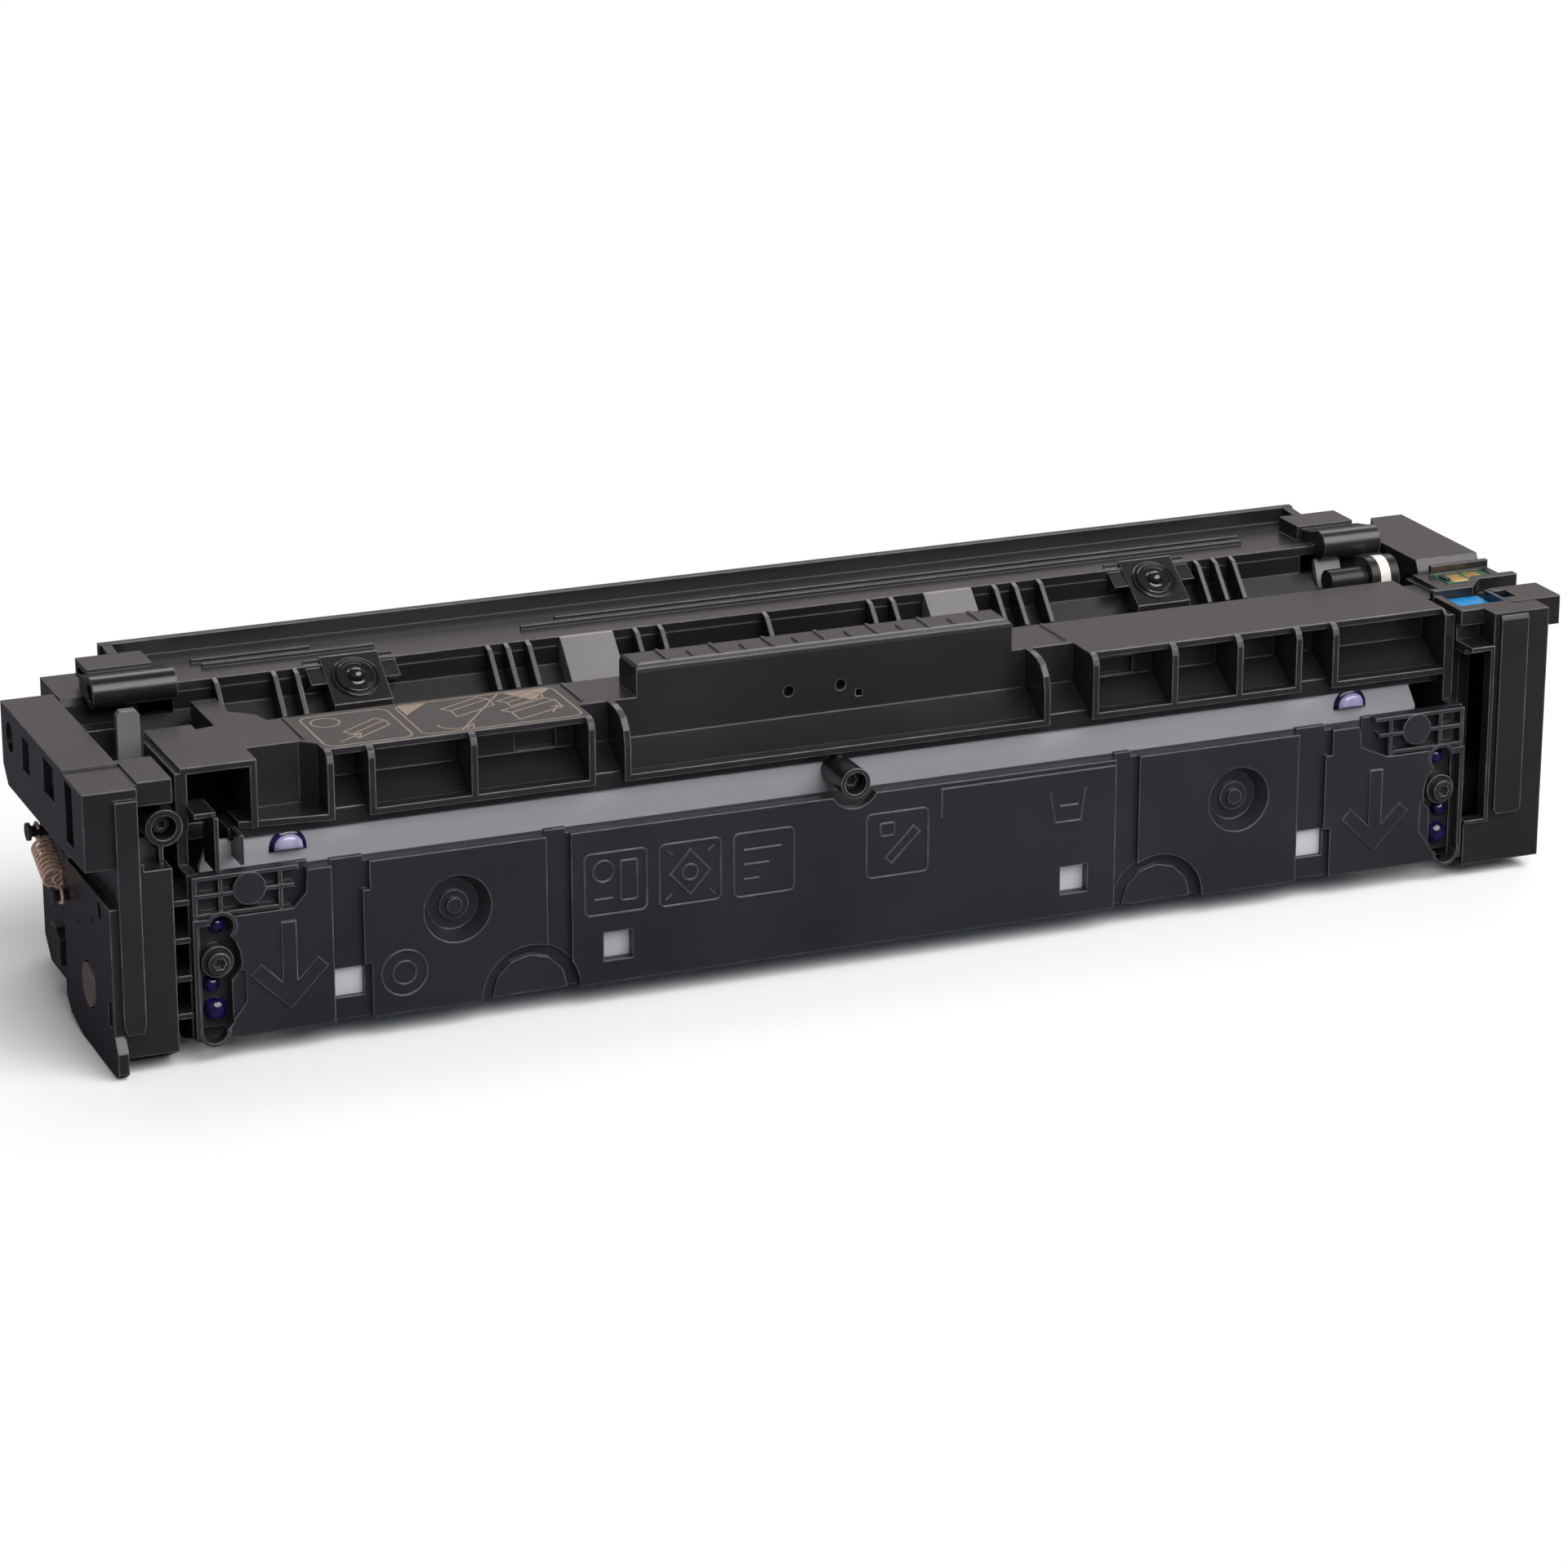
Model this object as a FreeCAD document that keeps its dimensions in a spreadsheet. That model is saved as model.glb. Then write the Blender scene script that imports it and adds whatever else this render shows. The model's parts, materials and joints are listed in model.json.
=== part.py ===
import FreeCAD, Part
import math
import os
import re
import Sketcher

# Toner cartridge for an A4 colour laser printer, millimetres, standing on its belly.
# X runs along the length, Y from the drum side to the rear, Z up from the table.
# The outlines below are drawn from the front panel's face (Y 0) and the middle of the
# panels (X 0). Every piece is then moved by the same amount, so that the model's origin
# is under the middle of its box.

SIZES = [
    # overall
    ("arm_out", 165.5, "left cover's outer face"),
    ("ear_out", 170.5, "right cover's outer face"),
    ("nose", 2.0, "how far the side plates stand out before the panel"),
    ("back_face", 78.0, "rear wall of the hopper"),
    # front panel
    ("panel_half", 144.2, "half the panel's length"),
    ("panel_bottom", 5.0, "lower edge"),
    ("panel_top", 38.5, "upper edge"),
    ("strip_rise", 1.1, "how far the recessed strips rise over the plates"),
    ("arrow_top", 30.8, "upper edge of the arrow plates"),
    ("plate_thick", 1.2, "front layer"),
    ("web_thick", 1.2, "rear layer"),
    ("window_wide", 6.4, "window width"),
    ("window_tall", 6.2, "window height"),
    ("window_low", 9.8, "windows' lower edge"),
    ("cup_x", 88.8, "round recesses from the middle"),
    ("cup_z", 25.7, "round recesses' height"),
    ("cup_radius", 7.2, "round recess at the face"),
    ("cup_depth", 3.4, "round recess depth"),
    ("moon_radius", 10.6, "half-round recesses at the lower edge"),
    ("arrow_rise", 0.4, "raised arrows"),
    ("boss_x", -1.3, "centre screw boss"),
    ("boss_z", 41.2, "centre screw boss"),
    ("boss_radius", 3.3, "screw bosses"),
    ("side_screw_x", 139.1, "side screws from the middle"),
    ("side_screw_z", 21.2, "side screws' height"),
    # frame
    ("end_in", 142.2, "frame end plates' inner face"),
    ("end_thick", 2.2, "frame end plates"),
    ("beam_front", 7.0, "front of the upper beam"),
    ("beam_bottom", 45.6, "lower face of the beam"),
    ("beam_top", 60.0, "plateau"),
    ("beam_back", 32.0, "rear edge of the plateau"),
    ("shell", 1.4, "moulded wall"),
    ("pocket_back", 17.2, "back wall of the beam's pockets"),
    ("ledge_rise", 4.4, "slope at the pockets' floor"),
    ("handle_left", 43.2, "handle's left end"),
    ("handle_right", 42.4, "handle's right end"),
    ("handle_top", 66.8, "handle's top"),
    ("handle_deep", 10.0, "handle's depth"),
    ("handle_round", 1.6, "handle's rounded edges"),
    ("grip_pitch", 5.95, "distance between the grip ridges"),
    # drum, charge roller and blade
    ("drum_y", 18.5, "drum axis"),
    ("drum_z", 13.5, "drum axis"),
    ("drum_radius", 12.0, "drum"),
    ("drum_wall", 0.8, "drum tube"),
    ("drum_half", 124.0, "half the coated tube"),
    ("rim_long", 9.0, "drum flanges' rims"),
    ("pin_radius", 3.0, "drum pin"),
    ("running_gap", 0.06, "radial clearance of a shaft in its bore"),
    ("charge_y", 10.7, "charge roller axis"),
    ("charge_z", 28.1, "charge roller axis"),
    ("charge_radius", 4.25, "charge roller rubber"),
    ("charge_shaft", 2.5, "charge roller shaft"),
    ("charge_half", 121.0, "half the charge roller rubber"),
    ("strip_y", 10.6, "front face of the blade bracket"),
    ("sheet", 1.2, "bracket sheet"),
    # end covers
    ("side_out", 161.0, "left side plate's outer face"),
    ("side_in", 147.9, "left cover's inner edge"),
    ("arm_in", 154.4, "inner faces of the arms"),
    ("arm_low", 43.2, "lower face of the arms"),
    ("arm_long", 64.0, "left arm's rear end"),
    ("arm_top", 60.5, "top of the arms"),
    ("right_in", 144.8, "right cover's inner face"),
    ("right_out", 163.9, "right side plate's outer face"),
    ("right_long", 77.5, "right arm's rear end"),
    ("rib_out", 1.2, "raised ribs on the covers' faces"),
    # swing of the developer unit
    ("pivot_y", 57.5, "swing axis"),
    ("pivot_z", 54.5, "swing axis"),
    ("pivot_radius", 3.3, "pivot pins"),
    ("swing_gap", 0.4, "side play of the developer unit"),
    # developer unit
    ("hopper_half", 141.0, "half the hopper"),
    ("wall", 2.0, "hopper walls"),
    ("lid_z", 61.0, "lid's underside"),
    ("lid_thick", 1.6, "lid"),
    ("rail_top", 66.0, "rear rail"),
    ("cover_out", 154.0, "developer covers' outer faces"),
    ("barrel_y", 53.0, "barrels' axis"),
    ("barrel_z", 63.4, "barrels' axis"),
    ("barrel_radius", 3.35, "barrels"),
    ("barrel_out", 149.5, "barrels' outer ends"),
    ("barrel_bore", 1.9, "bore in the barrels' outer ends"),
    ("tile_x", 93.0, "tilted square plates from the middle"),
    ("tile_half", 6.4, "half a square plate"),
    ("tile_angle", 35.0, "tilt of the square plates in degrees"),
    ("roller_y", 36.5, "developer roller axis"),
    ("roller_z", 17.5, "developer roller axis"),
    ("roller_radius", 6.0, "developer roller"),
    ("roller_shaft", 3.0, "developer roller shaft"),
    ("roller_half", 118.0, "half the developer roller's sleeve"),
    ("supply_y", 46.4, "supply roller axis"),
    ("supply_z", 12.1, "supply roller axis"),
    ("supply_radius", 4.95, "supply roller foam"),
    ("supply_shaft", 2.5, "supply roller shaft"),
    ("drive_journal", 2.5, "drive gear's inner journal"),
    ("coupling_radius", 4.6, "drive coupling in the cover"),
    ("stir_angle", 35.0, "agitator's direction from the drive gear in degrees"),
    ("stir_shaft", 3.0, "agitator shaft"),
    ("stir_reach", 12.2, "agitator film from the axis"),
    ("stub_y", 45.0, "stub shaft beside the right barrel"),
    ("stub_z", 57.2, "stub shaft beside the right barrel"),
    ("stub_radius", 2.7, "stub shaft"),
    ("stub_ring", 4.7, "ring and discs on the stub shaft"),
    ("cap_x", -108.0, "filling cap"),
    ("cap_z", 31.0, "filling cap"),
    ("cap_radius", 9.0, "filling cap"),
    # springs
    ("spring_x", 162.0, "tension springs' axis from the middle"),
    ("spring_radius", 2.6, "outer radius of the coils"),
    ("post_y", 35.0, "spring post on the drum unit"),
    ("post_z", 27.2, "spring post on the drum unit"),
    ("hook_y", 52.4, "spring post on the developer unit"),
    ("hook_z", 35.4, "spring post on the developer unit"),
    ("right_post_y", 25.0, "spring post on the right cover"),
    ("right_post_z", 27.6, "spring post on the right cover"),
    ("post_radius", 1.2, "spring posts"),
    ("wire", 0.45, "spring wire's radius"),
    # gears
    ("gear_module", 1.0, "pitch circle per tooth"),
    ("gear_in", 144.8, "gears' inner faces"),
]

doc = FreeCAD.newDocument("TonerCartridge")
sheet = doc.addObject("Spreadsheet::Sheet", "Sizes")
for row, (alias, value, note) in enumerate(SIZES, 1):
    sheet.set(f"A{row}", alias)
    sheet.set(f"B{row}", str(value))
    sheet.set(f"C{row}", note)
    sheet.setAlias(f"B{row}", alias)
doc.recompute()

# teeth of the gears at the developer unit's right end
TEETH = {"roller": 14, "supply": 12, "drive": 18, "stir": 15}
# the drive gear sits where it meets both the roller's and the supply roller's gear
FAR_R = f"(gear_module * {(TEETH['drive'] + TEETH['roller']) / 2})"
FAR_S = f"(gear_module * {(TEETH['drive'] + TEETH['supply']) / 2})"
FAR_A = f"(gear_module * {(TEETH['drive'] + TEETH['stir']) / 2})"
SPAN = "sqrt((supply_y - roller_y)^2 + (supply_z - roller_z)^2)"
ALONG = f"(({FAR_R}^2 - {FAR_S}^2 + {SPAN}^2) / (2 * {SPAN}))"
ACROSS = f"sqrt({FAR_R}^2 - {ALONG}^2)"
DRIVE_Y = f"(roller_y + ({ALONG} * (supply_y - roller_y) + {ACROSS} * (roller_z - supply_z)) / {SPAN})"
DRIVE_Z = f"(roller_z + ({ALONG} * (supply_z - roller_z) + {ACROSS} * (supply_y - roller_y)) / {SPAN})"
STIR_Y = f"({DRIVE_Y} + {FAR_A} * cos(stir_angle))"
STIR_Z = f"({DRIVE_Z} + {FAR_A} * sin(stir_angle))"

MOVE_X = "(arm_out - ear_out) / 2"
MOVE_Y = "(nose - back_face) / 2"
PIECES = []
KNOWN = {}


def bound(text):
    """The expression with each alias read from the sheet."""
    return re.sub(r"[a-z][a-z0-9_]*", found, str(text))


def found(word):
    if word.group(0) in ("sin", "cos", "tan", "sqrt", "min", "max"):
        return word.group(0)
    return "Sizes." + word.group(0)


def number(text):
    if text not in KNOWN:
        KNOWN[text] = float(sheet.evalExpression(bound(text)))
    return KNOWN[text]


def minus(text):
    return f"-({text})"


def new_body(label):
    body = doc.addObject("PartDesign::Body", label)
    body.Label = label
    body.setExpression("Placement.Base.x", bound(MOVE_X))
    body.setExpression("Placement.Base.y", bound(MOVE_Y))
    PIECES.append(body)
    return body


def rect(u0, v0, u1, v1):
    return [(u0, v0), (u1, v0), (u1, v1), (u0, v1)]


def disc(u, v, radius):
    return ("disc", u, v, radius)


def sketch(body, plane, level, loops, shift="0", rise="0", angle=0):
    """A sketch on one of the body's planes, each corner bound to its expressions."""
    drawn = body.newObject("Sketcher::SketchObject", "Outline")
    base = [f for f in body.Origin.OriginFeatures if f.Role == plane + "_Plane"][0]
    drawn.AttachmentSupport = [(base, "")]
    drawn.MapMode = "FlatFace"
    drawn.setExpression("AttachmentOffset.Base.z", bound(level))
    if angle:
        drawn.AttachmentOffset.Rotation = FreeCAD.Rotation(FreeCAD.Vector(0, 0, 1), angle)
    drawn.setExpression("AttachmentOffset.Base.x", bound(shift))
    drawn.setExpression("AttachmentOffset.Base.y", bound(rise))
    rules = []
    sizes = {}
    for loop in loops:
        first = drawn.GeometryCount
        if loop[0] == "disc":
            u, v, radius = loop[1:]
            middle = FreeCAD.Vector(number(u), number(v), 0)
            up = FreeCAD.Vector(0, 0, 1)
            drawn.addGeometry(Part.Circle(middle, up, number(radius)), False)
            points = [(first, 3, u, v)]
            sizes[len(rules)] = radius
            rules.append(Sketcher.Constraint("Radius", first, number(radius)))
        else:
            corners = [FreeCAD.Vector(number(u), number(v), 0) for u, v in loop]
            following = list(range(1, len(loop))) + [0]
            drawn.addGeometry([Part.LineSegment(corners[i], corners[j])
                               for i, j in enumerate(following)], False)
            rules += [Sketcher.Constraint("Coincident", first + i, 2, first + j, 1)
                      for i, j in enumerate(following)]
            points = [(first + i, 1, u, v) for i, (u, v) in enumerate(loop)]
        for part, end, u, v in points:
            for kind, value in (("DistanceX", u), ("DistanceY", v)):
                sizes[len(rules)] = value
                rules.append(Sketcher.Constraint(kind, -1, 1, part, end, number(value)))
    drawn.addConstraint(rules)
    for place, value in sizes.items():
        drawn.setExpression(f"Constraints[{place}]", bound(value))
    return drawn


def pad(body, plane, start, end, *loops):
    """Material between two levels of the plane's axis."""
    level = minus(end) if plane == "XZ" else start
    made = body.newObject("PartDesign::Pad", "Pad")
    made.Profile = sketch(body, plane, level, loops)
    made.setExpression("Length", bound(f"({end}) - ({start})"))
    made.Refine = False
    doc.recompute()
    return made


def cut(body, plane, start, end, *loops):
    """Takes material away between two levels of the plane's axis."""
    before = body.Shape.Volume
    level = minus(start) if plane == "XZ" else end
    made = body.newObject("PartDesign::Pocket", "Pocket")
    made.Profile = sketch(body, plane, level, loops)
    made.setExpression("Length", bound(f"({end}) - ({start})"))
    made.Refine = False
    doc.recompute()
    if not body.Shape.Volume < before:
        raise RuntimeError(f"a pocket in {body.Label} cuts nothing")
    return made


def spin(body, plane, level, shift, loop, takes=False):
    """A turned form, or a turned recess, about the sketch's vertical axis."""
    kind = "PartDesign::Groove" if takes else "PartDesign::Revolution"
    made = body.newObject(kind, "Turned")
    drawn = sketch(body, plane, level, [loop], shift)
    made.Profile = drawn
    made.ReferenceAxis = (drawn, ["V_Axis"])
    made.Angle = 360
    made.Refine = False
    doc.recompute()
    return made


def copies(body, features, axis, length, count):
    """Evenly spaced copies of the features along one of the body's axes."""
    made = body.newObject("PartDesign::LinearPattern", "Copies")
    made.Originals = features
    along = [f for f in body.Origin.OriginFeatures if f.Role == axis + "_Axis"][0]
    made.Direction = (along, [""])
    made.setExpression("Length", bound(length))
    made.Occurrences = count
    made.Refine = False
    body.Tip = made
    doc.recompute()
    return made


def gear(body, start, end, y, z, teeth, angle):
    """A spur gear: a disc and one tooth, repeated about the gear's axis."""
    pitch = f"gear_module * {teeth / 2}"
    pad(body, "YZ", start, end, disc(y, z, f"{pitch} - gear_module"))
    tooth = [(f"{pitch} - gear_module * 1.2", "-gear_module * 0.72"),
             (f"{pitch} + gear_module * 0.8", "-gear_module * 0.3"),
             (f"{pitch} + gear_module * 0.8", "gear_module * 0.3"),
             (f"{pitch} - gear_module * 1.2", "gear_module * 0.72")]
    made = body.newObject("PartDesign::Pad", "Tooth")
    drawn = sketch(body, "YZ", start, [tooth], y, z, angle)
    made.Profile = drawn
    made.setExpression("Length", bound(f"({end}) - ({start})"))
    made.Refine = False
    ring = body.newObject("PartDesign::PolarPattern", "Teeth")
    ring.Originals = [made]
    ring.Axis = (drawn, ["N_Axis"])
    ring.Angle = 360
    ring.Occurrences = teeth
    ring.Refine = False
    body.Tip = ring
    doc.recompute()
    return ring


def pair(loop):
    """The outline on the right and, mirrored, on the left."""
    if loop[0] == "disc":
        return [loop, disc(minus(loop[1]), loop[2], loop[3])]
    return [loop, [(minus(u), v) for u, v in loop]]


# ---- front panel: two layers, with strips, plates, windows, recesses and arrows
BACK = "plate_thick + web_thick"


def arrow_outline(side, low):
    step = ["120.3", "120.6", "123.3"] if side == "-1" else ["117.9", "118.6", "125.1"]
    inner = "115.2" if side == "-1" else "111.4"
    corners = [("panel_half", low), ("panel_half", "arrow_top"), (step[2], "arrow_top"),
               (step[1], "arrow_top + 2.9"), (step[0], "panel_top"), (inner, "panel_top"),
               (inner, low)]
    return [(f"{side} * {u}", v) for u, v in corners]


panel = new_body("front_panel")
pad(panel, "XZ", "plate_thick", BACK,
    [("-panel_half", "panel_bottom"), ("-panel_half", "arrow_top"), ("-123.3", "arrow_top"),
     ("-120.6", "arrow_top + 2.9"), ("-120.3", "panel_top"), ("117.9", "panel_top"),
     ("118.6", "arrow_top + 2.9"), ("125.1", "arrow_top"), ("panel_half", "arrow_top"),
     ("panel_half", "panel_bottom")])
pad(panel, "XZ", "plate_thick", BACK,
    rect("-115.2", "panel_bottom", "-108.3", "panel_top + strip_rise"),
    rect("-69.6", "panel_bottom", "-65", "panel_top + strip_rise"),
    rect("59.3", "panel_bottom", "63.1", "panel_top + strip_rise"),
    rect("102.9", "panel_bottom", "109.9", "panel_top + strip_rise"))
pad(panel, "XZ", "0", "plate_thick",
    arrow_outline("-1", "panel_bottom"),
    [("-107.3", "panel_bottom"), ("-107.3", "16.6"), ("-108.8", "16.6"), ("-108.8", "32.5"),
     ("-107.3", "32.5"), ("-107.3", "panel_top"), ("-69.5", "panel_top"),
     ("-69.5", "panel_bottom")],
    rect("-64.3", "panel_bottom", "59.3", "panel_top"),
    rect("64.8", "panel_bottom", "103.2", "panel_top"),
    [("111.4", "panel_bottom"), ("111.4", "16"), ("109.8", "16"), ("109.8", "32.8"),
     ("111.4", "32.8"), ("111.4", "panel_top"), ("117.9", "panel_top"),
     ("118.6", "arrow_top + 2.9"), ("125.1", "arrow_top"), ("panel_half", "arrow_top"),
     ("panel_half", "panel_bottom")])
# the lower edge turns in under the drum
pad(panel, "YZ", "-128", "128",
    rect(BACK, "panel_bottom", BACK + " + 4.6", "panel_bottom + shell"))
# rib grids over the arrow plates, with a half-round tab hanging in each
pad(panel, "XZ", BACK, BACK + " + 1",
    *pair(rect("119.6", "arrow_top - 0.3", "end_in - 0.1", "panel_top + 1.2")))
pad(panel, "XZ", "0.3", BACK,
    *pair(rect("122", "panel_top + 0.4", "panel_half - 0.2", "panel_top + 1.2")),
    *pair(rect("123", "arrow_top + 4.4", "panel_half - 0.2", "arrow_top + 5.2")),
    *pair(rect("126.4", "arrow_top + 0.3", "panel_half - 0.2", "arrow_top + 1.1")))
pad(panel, "XZ", "0.35", BACK,
    *pair(rect("panel_half - 1.1", "arrow_top - 0.4", "panel_half - 0.2", "panel_top + 1.2")),
    *pair(rect("137.8", "arrow_top - 0.4", "138.6", "panel_top + 1.2")),
    *pair(rect("125.4", "arrow_top - 0.4", "126.2", "panel_top + 1.2")))
pad(panel, "XZ", "0.2", BACK, *pair(disc("132.2", "panel_top - 2.4", "3.4")))
# windows, half-round recesses, screw pockets and the notch under the centre boss
cut(panel, "XZ", "0", BACK,
    rect("-115.1", "window_low", "-115.1 + window_wide", "window_low + window_tall"),
    rect("-57.4", "window_low", "-57.4 + window_wide", "window_low + window_tall"),
    rect("46.4", "window_low", "46.4 + window_wide", "window_low + window_tall"),
    rect("103.7", "window_low", "103.7 + window_wide", "window_low + window_tall"),
    disc("boss_x", "boss_z", "boss_radius + 2.3"))
MOONS = ("-73.2", "69.9")
cut(panel, "XZ", "0", BACK + " - 0.5",
    *[disc(middle, "panel_bottom", "moon_radius") for middle in MOONS])
half = "(moon_radius - 2.4)"
pad(panel, "XZ", BACK + " - 1.3", BACK,
    *[[(f"{middle} + {half} * {u}", f"panel_bottom + {half} * {v}")
       for u, v in ((-1, 0), (1, 0), (0.87, 0.5), (0.5, 0.87), (0, 1), (-0.5, 0.87), (-0.87, 0.5))]
      for middle in MOONS])
# each screw pocket has a hood over its top and a lobe at its foot
pad(panel, "XZ", "-0.2", BACK, *pair(disc("138.4", "arrow_top - 2", "3.3")))
pad(panel, "XZ", "-0.2", BACK, *pair(disc("140.4", "panel_bottom + 1.8", "3.2")))
cut(panel, "XZ", "-0.2", BACK,
    *pair([("136", "arrow_top - 1.4"), ("panel_half - 1", "arrow_top - 1.4"),
           ("panel_half - 1", "6.8"), ("137.9", "6.8"), ("136.4", "8.2"), ("136.4", "17"),
           ("134.9", "18.6"), ("134.4", "20.8"), ("134.7", "23.2"), ("135.6", "25.4"),
           ("136.7", "26.8")]))
cut(panel, "XZ", "-0.2", BACK, *pair(disc("138.4", "arrow_top - 2", "2.5")))
cut(panel, "XZ", "-0.2", BACK, *pair(disc("140.4", "panel_bottom + 1.8", "2.5")))
cut(panel, "XZ", "-0.1", "0.7",
    *pair([("136.5", "19.4"), ("133.7", "19"), ("133.7", "12.4"), ("136.2", "9"), ("136.5", "9")]))
# round recesses with a stepped floor and a nub in the middle, in a cup behind the panel
pad(panel, "XZ", BACK, "cup_depth + 1", *pair(disc("cup_x", "cup_z", "cup_radius + 0.4")))
for side in ("-1", "1"):
    spin(panel, "XY", "cup_z", f"{side} * cup_x",
         [("0", "0"), ("cup_radius", "0"), ("cup_radius - 1.8", "cup_depth"),
          ("3.2", "cup_depth"), ("3.2", "cup_depth - 0.6"), ("1.7", "cup_depth - 0.6"),
          ("1.7", "cup_depth - 1.4"), ("0", "cup_depth - 1.4")], takes=True)
pad(panel, "XZ", "-arrow_rise", "plate_thick",
    *[[(f"{middle} + {u}", v) for u, v in (
        ("-1.6", "28.2"), ("1.6", "28.2"), ("1.6", "15.6"), ("6", "20"), ("8.2", "17.8"),
        ("0", "9.6"), ("-8.2", "17.8"), ("-6", "20"), ("-1.6", "15.6"))]
      for middle in ("-124.6", "122.2")])

# ---- frame: waste bin with beam, pockets, handle and end plates, in one moulding
frame = new_body("drum_frame")
pad(frame, "XY", "beam_bottom", "beam_top",
    [("-143.3", "8.5"), ("-127.5", "8.5"), ("-127.5", "16.4"), ("-116.4", "16.4"),
     ("-113.3", "13.6"), ("-113.3", "beam_front"), ("142.8", "beam_front"),
     ("142.8", "beam_back"), ("-118.2", "beam_back"), ("-119.2", "36.2"), ("-121.6", "38.6"),
     ("-123.8", "40.2"), ("-123.8", "50"), ("-129.1", "50"), ("-129.1", "32.4"),
     ("-133.3", "31.6"), ("-133.3", "35"), ("-143.3", "35")])
cut(frame, "YZ", "-129.2", "-123.7",
    [("38", "beam_bottom"), ("50.1", "57"), ("50.1", "beam_bottom")])
# wall under the beam, bin back wall over the drum, hollow towards the blade
pad(frame, "YZ", "-end_in", "end_in",
    [("10", "beam_bottom - 2.4"), ("10", "beam_bottom + 0.4"), ("pocket_back", "beam_bottom + 0.4"),
     ("pocket_back", "beam_top - 1"), ("beam_back - 1", "beam_top - 1"), ("33", "46.5"),
     ("33", "27.5"), ("29.6", "26.6"), ("29.6", "31"), ("16.5", "42"),
     ("14", "beam_bottom - 2.4")])
cut(frame, "YZ", "-end_in + shell", "end_in - shell",
    [("pocket_back + 1.8", "40"), ("pocket_back + 1.8", "beam_top - 3"),
     ("beam_back - 2", "beam_top - 3"), ("31.4", "46.5"), ("31.4", "29.4"), ("24", "29.4")])
# pockets under the plateau, open pockets beside and before the handle
ROWS = (["-112.6", "-103.9", "-82.2", "-56.8"],
        ["57.5", "76.3", "91.9", "106.2", "115.2", "142.8"])
cut(frame, "XZ", "beam_front", "pocket_back",
    *[rect(f"{start} + shell / 2", "beam_bottom + shell", f"{end} - shell / 2", "beam_top - shell")
      for row in ROWS for start, end in zip(row, row[1:])],
    *[rect(f"{start} + shell / 2", "beam_bottom + shell", f"{end} - shell / 2", "beam_top + 1")
      for start, end in (("-56.8", "-49"), ("-49", "46.1"), ("46.1", "57.5"))])
# the plateau's edge stands back between the ribs, whose tops are rounded
cut(frame, "XY", "beam_top - shell", "beam_top",
    *[rect(f"{start} + shell / 2", "beam_front", f"{end} - shell / 2", "beam_front + 2.2")
      for row in ROWS for start, end in zip(row, row[1:])])
cut(frame, "YZ", "-113.4", "142.9",
    [("beam_front", "beam_top"), ("beam_front", "beam_top - 2.4"), ("beam_front + 0.5", "beam_top - 1.1"),
     ("beam_front + 1.2", "beam_top - 0.4"), ("beam_front + 2.4", "beam_top")])
# the open pockets' ribs are rounded down towards the front
for rib in ("-49", "46.1"):
    cut(frame, "YZ", f"{rib} - shell", f"{rib} + shell",
        [("beam_front", "beam_top"), ("beam_front", "beam_top - 7"),
         ("beam_front + 0.8", "beam_top - 3.6"), ("beam_front + 2.6", "beam_top - 1.4"),
         ("beam_front + 5", "beam_top - 0.4"), ("beam_front + 7.6", "beam_top")])
# the narrow pockets' lips stand back
cut(frame, "XZ", "beam_front", "beam_front + 3",
    *[rect(f"{start} + shell / 2", "beam_bottom", f"{end} - shell / 2", "beam_bottom + shell")
      for start, end in (("-112.6", "-103.9"), ("-56.8", "-49"), ("46.1", "57.5"), ("106.2", "115.2"))])
# left bay under the plateau's corner, with its shelf
cut(frame, "XZ", "8.5", "22",
    rect("-143.3 + shell", "beam_bottom", "-127.5 - shell", "beam_top - shell"))
pad(frame, "XY", "beam_bottom", "beam_bottom + shell",
    [("-131.4", "9.4"), ("-113.3", "beam_front"), ("-113.3", "17"), ("-131.4", "17")])
# below the corner the bay is open, crossed by thin ribs
cut(frame, "XY", "42", "beam_bottom + shell", rect("-end_in", "8", "-133.4", "16.2"))
pad(frame, "XZ", "3", "12", rect("-end_in", "51", "-137.8", "52"))
pad(frame, "XZ", "1.4", "9.4", rect("-138.7", "panel_top + 1.3", "-137.8", "51.2"))
pad(frame, "XZ", "4", "10.4", rect("-132.8", "panel_top + 1.3", "-132", "beam_bottom + 0.4"))
# sloping floor of the pockets
pad(frame, "YZ", "-112", "142",
    [("beam_front + 3", "beam_bottom + shell - 0.2"), ("pocket_back + 0.4", "beam_bottom + shell - 0.2"),
     ("pocket_back + 0.4", "beam_bottom + shell + ledge_rise"),
     ("pocket_back", "beam_bottom + shell + ledge_rise"), ("beam_front + 3", "beam_bottom + shell")])
# small windows in the backs of two pockets, each crossed by a bar
cut(frame, "XZ", "pocket_back", "pocket_back + 1.2",
    *[rect(start, "beam_top - 8.2", end, "beam_top - 4.5")
      for start, end in (("-70", "-61.2"), ("62.9", "71"))],
    *[rect(start, "beam_top - 3.5", end, "beam_top - 2.9")
      for start, end in (("-70", "-61.2"), ("62.9", "71"))])
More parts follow.
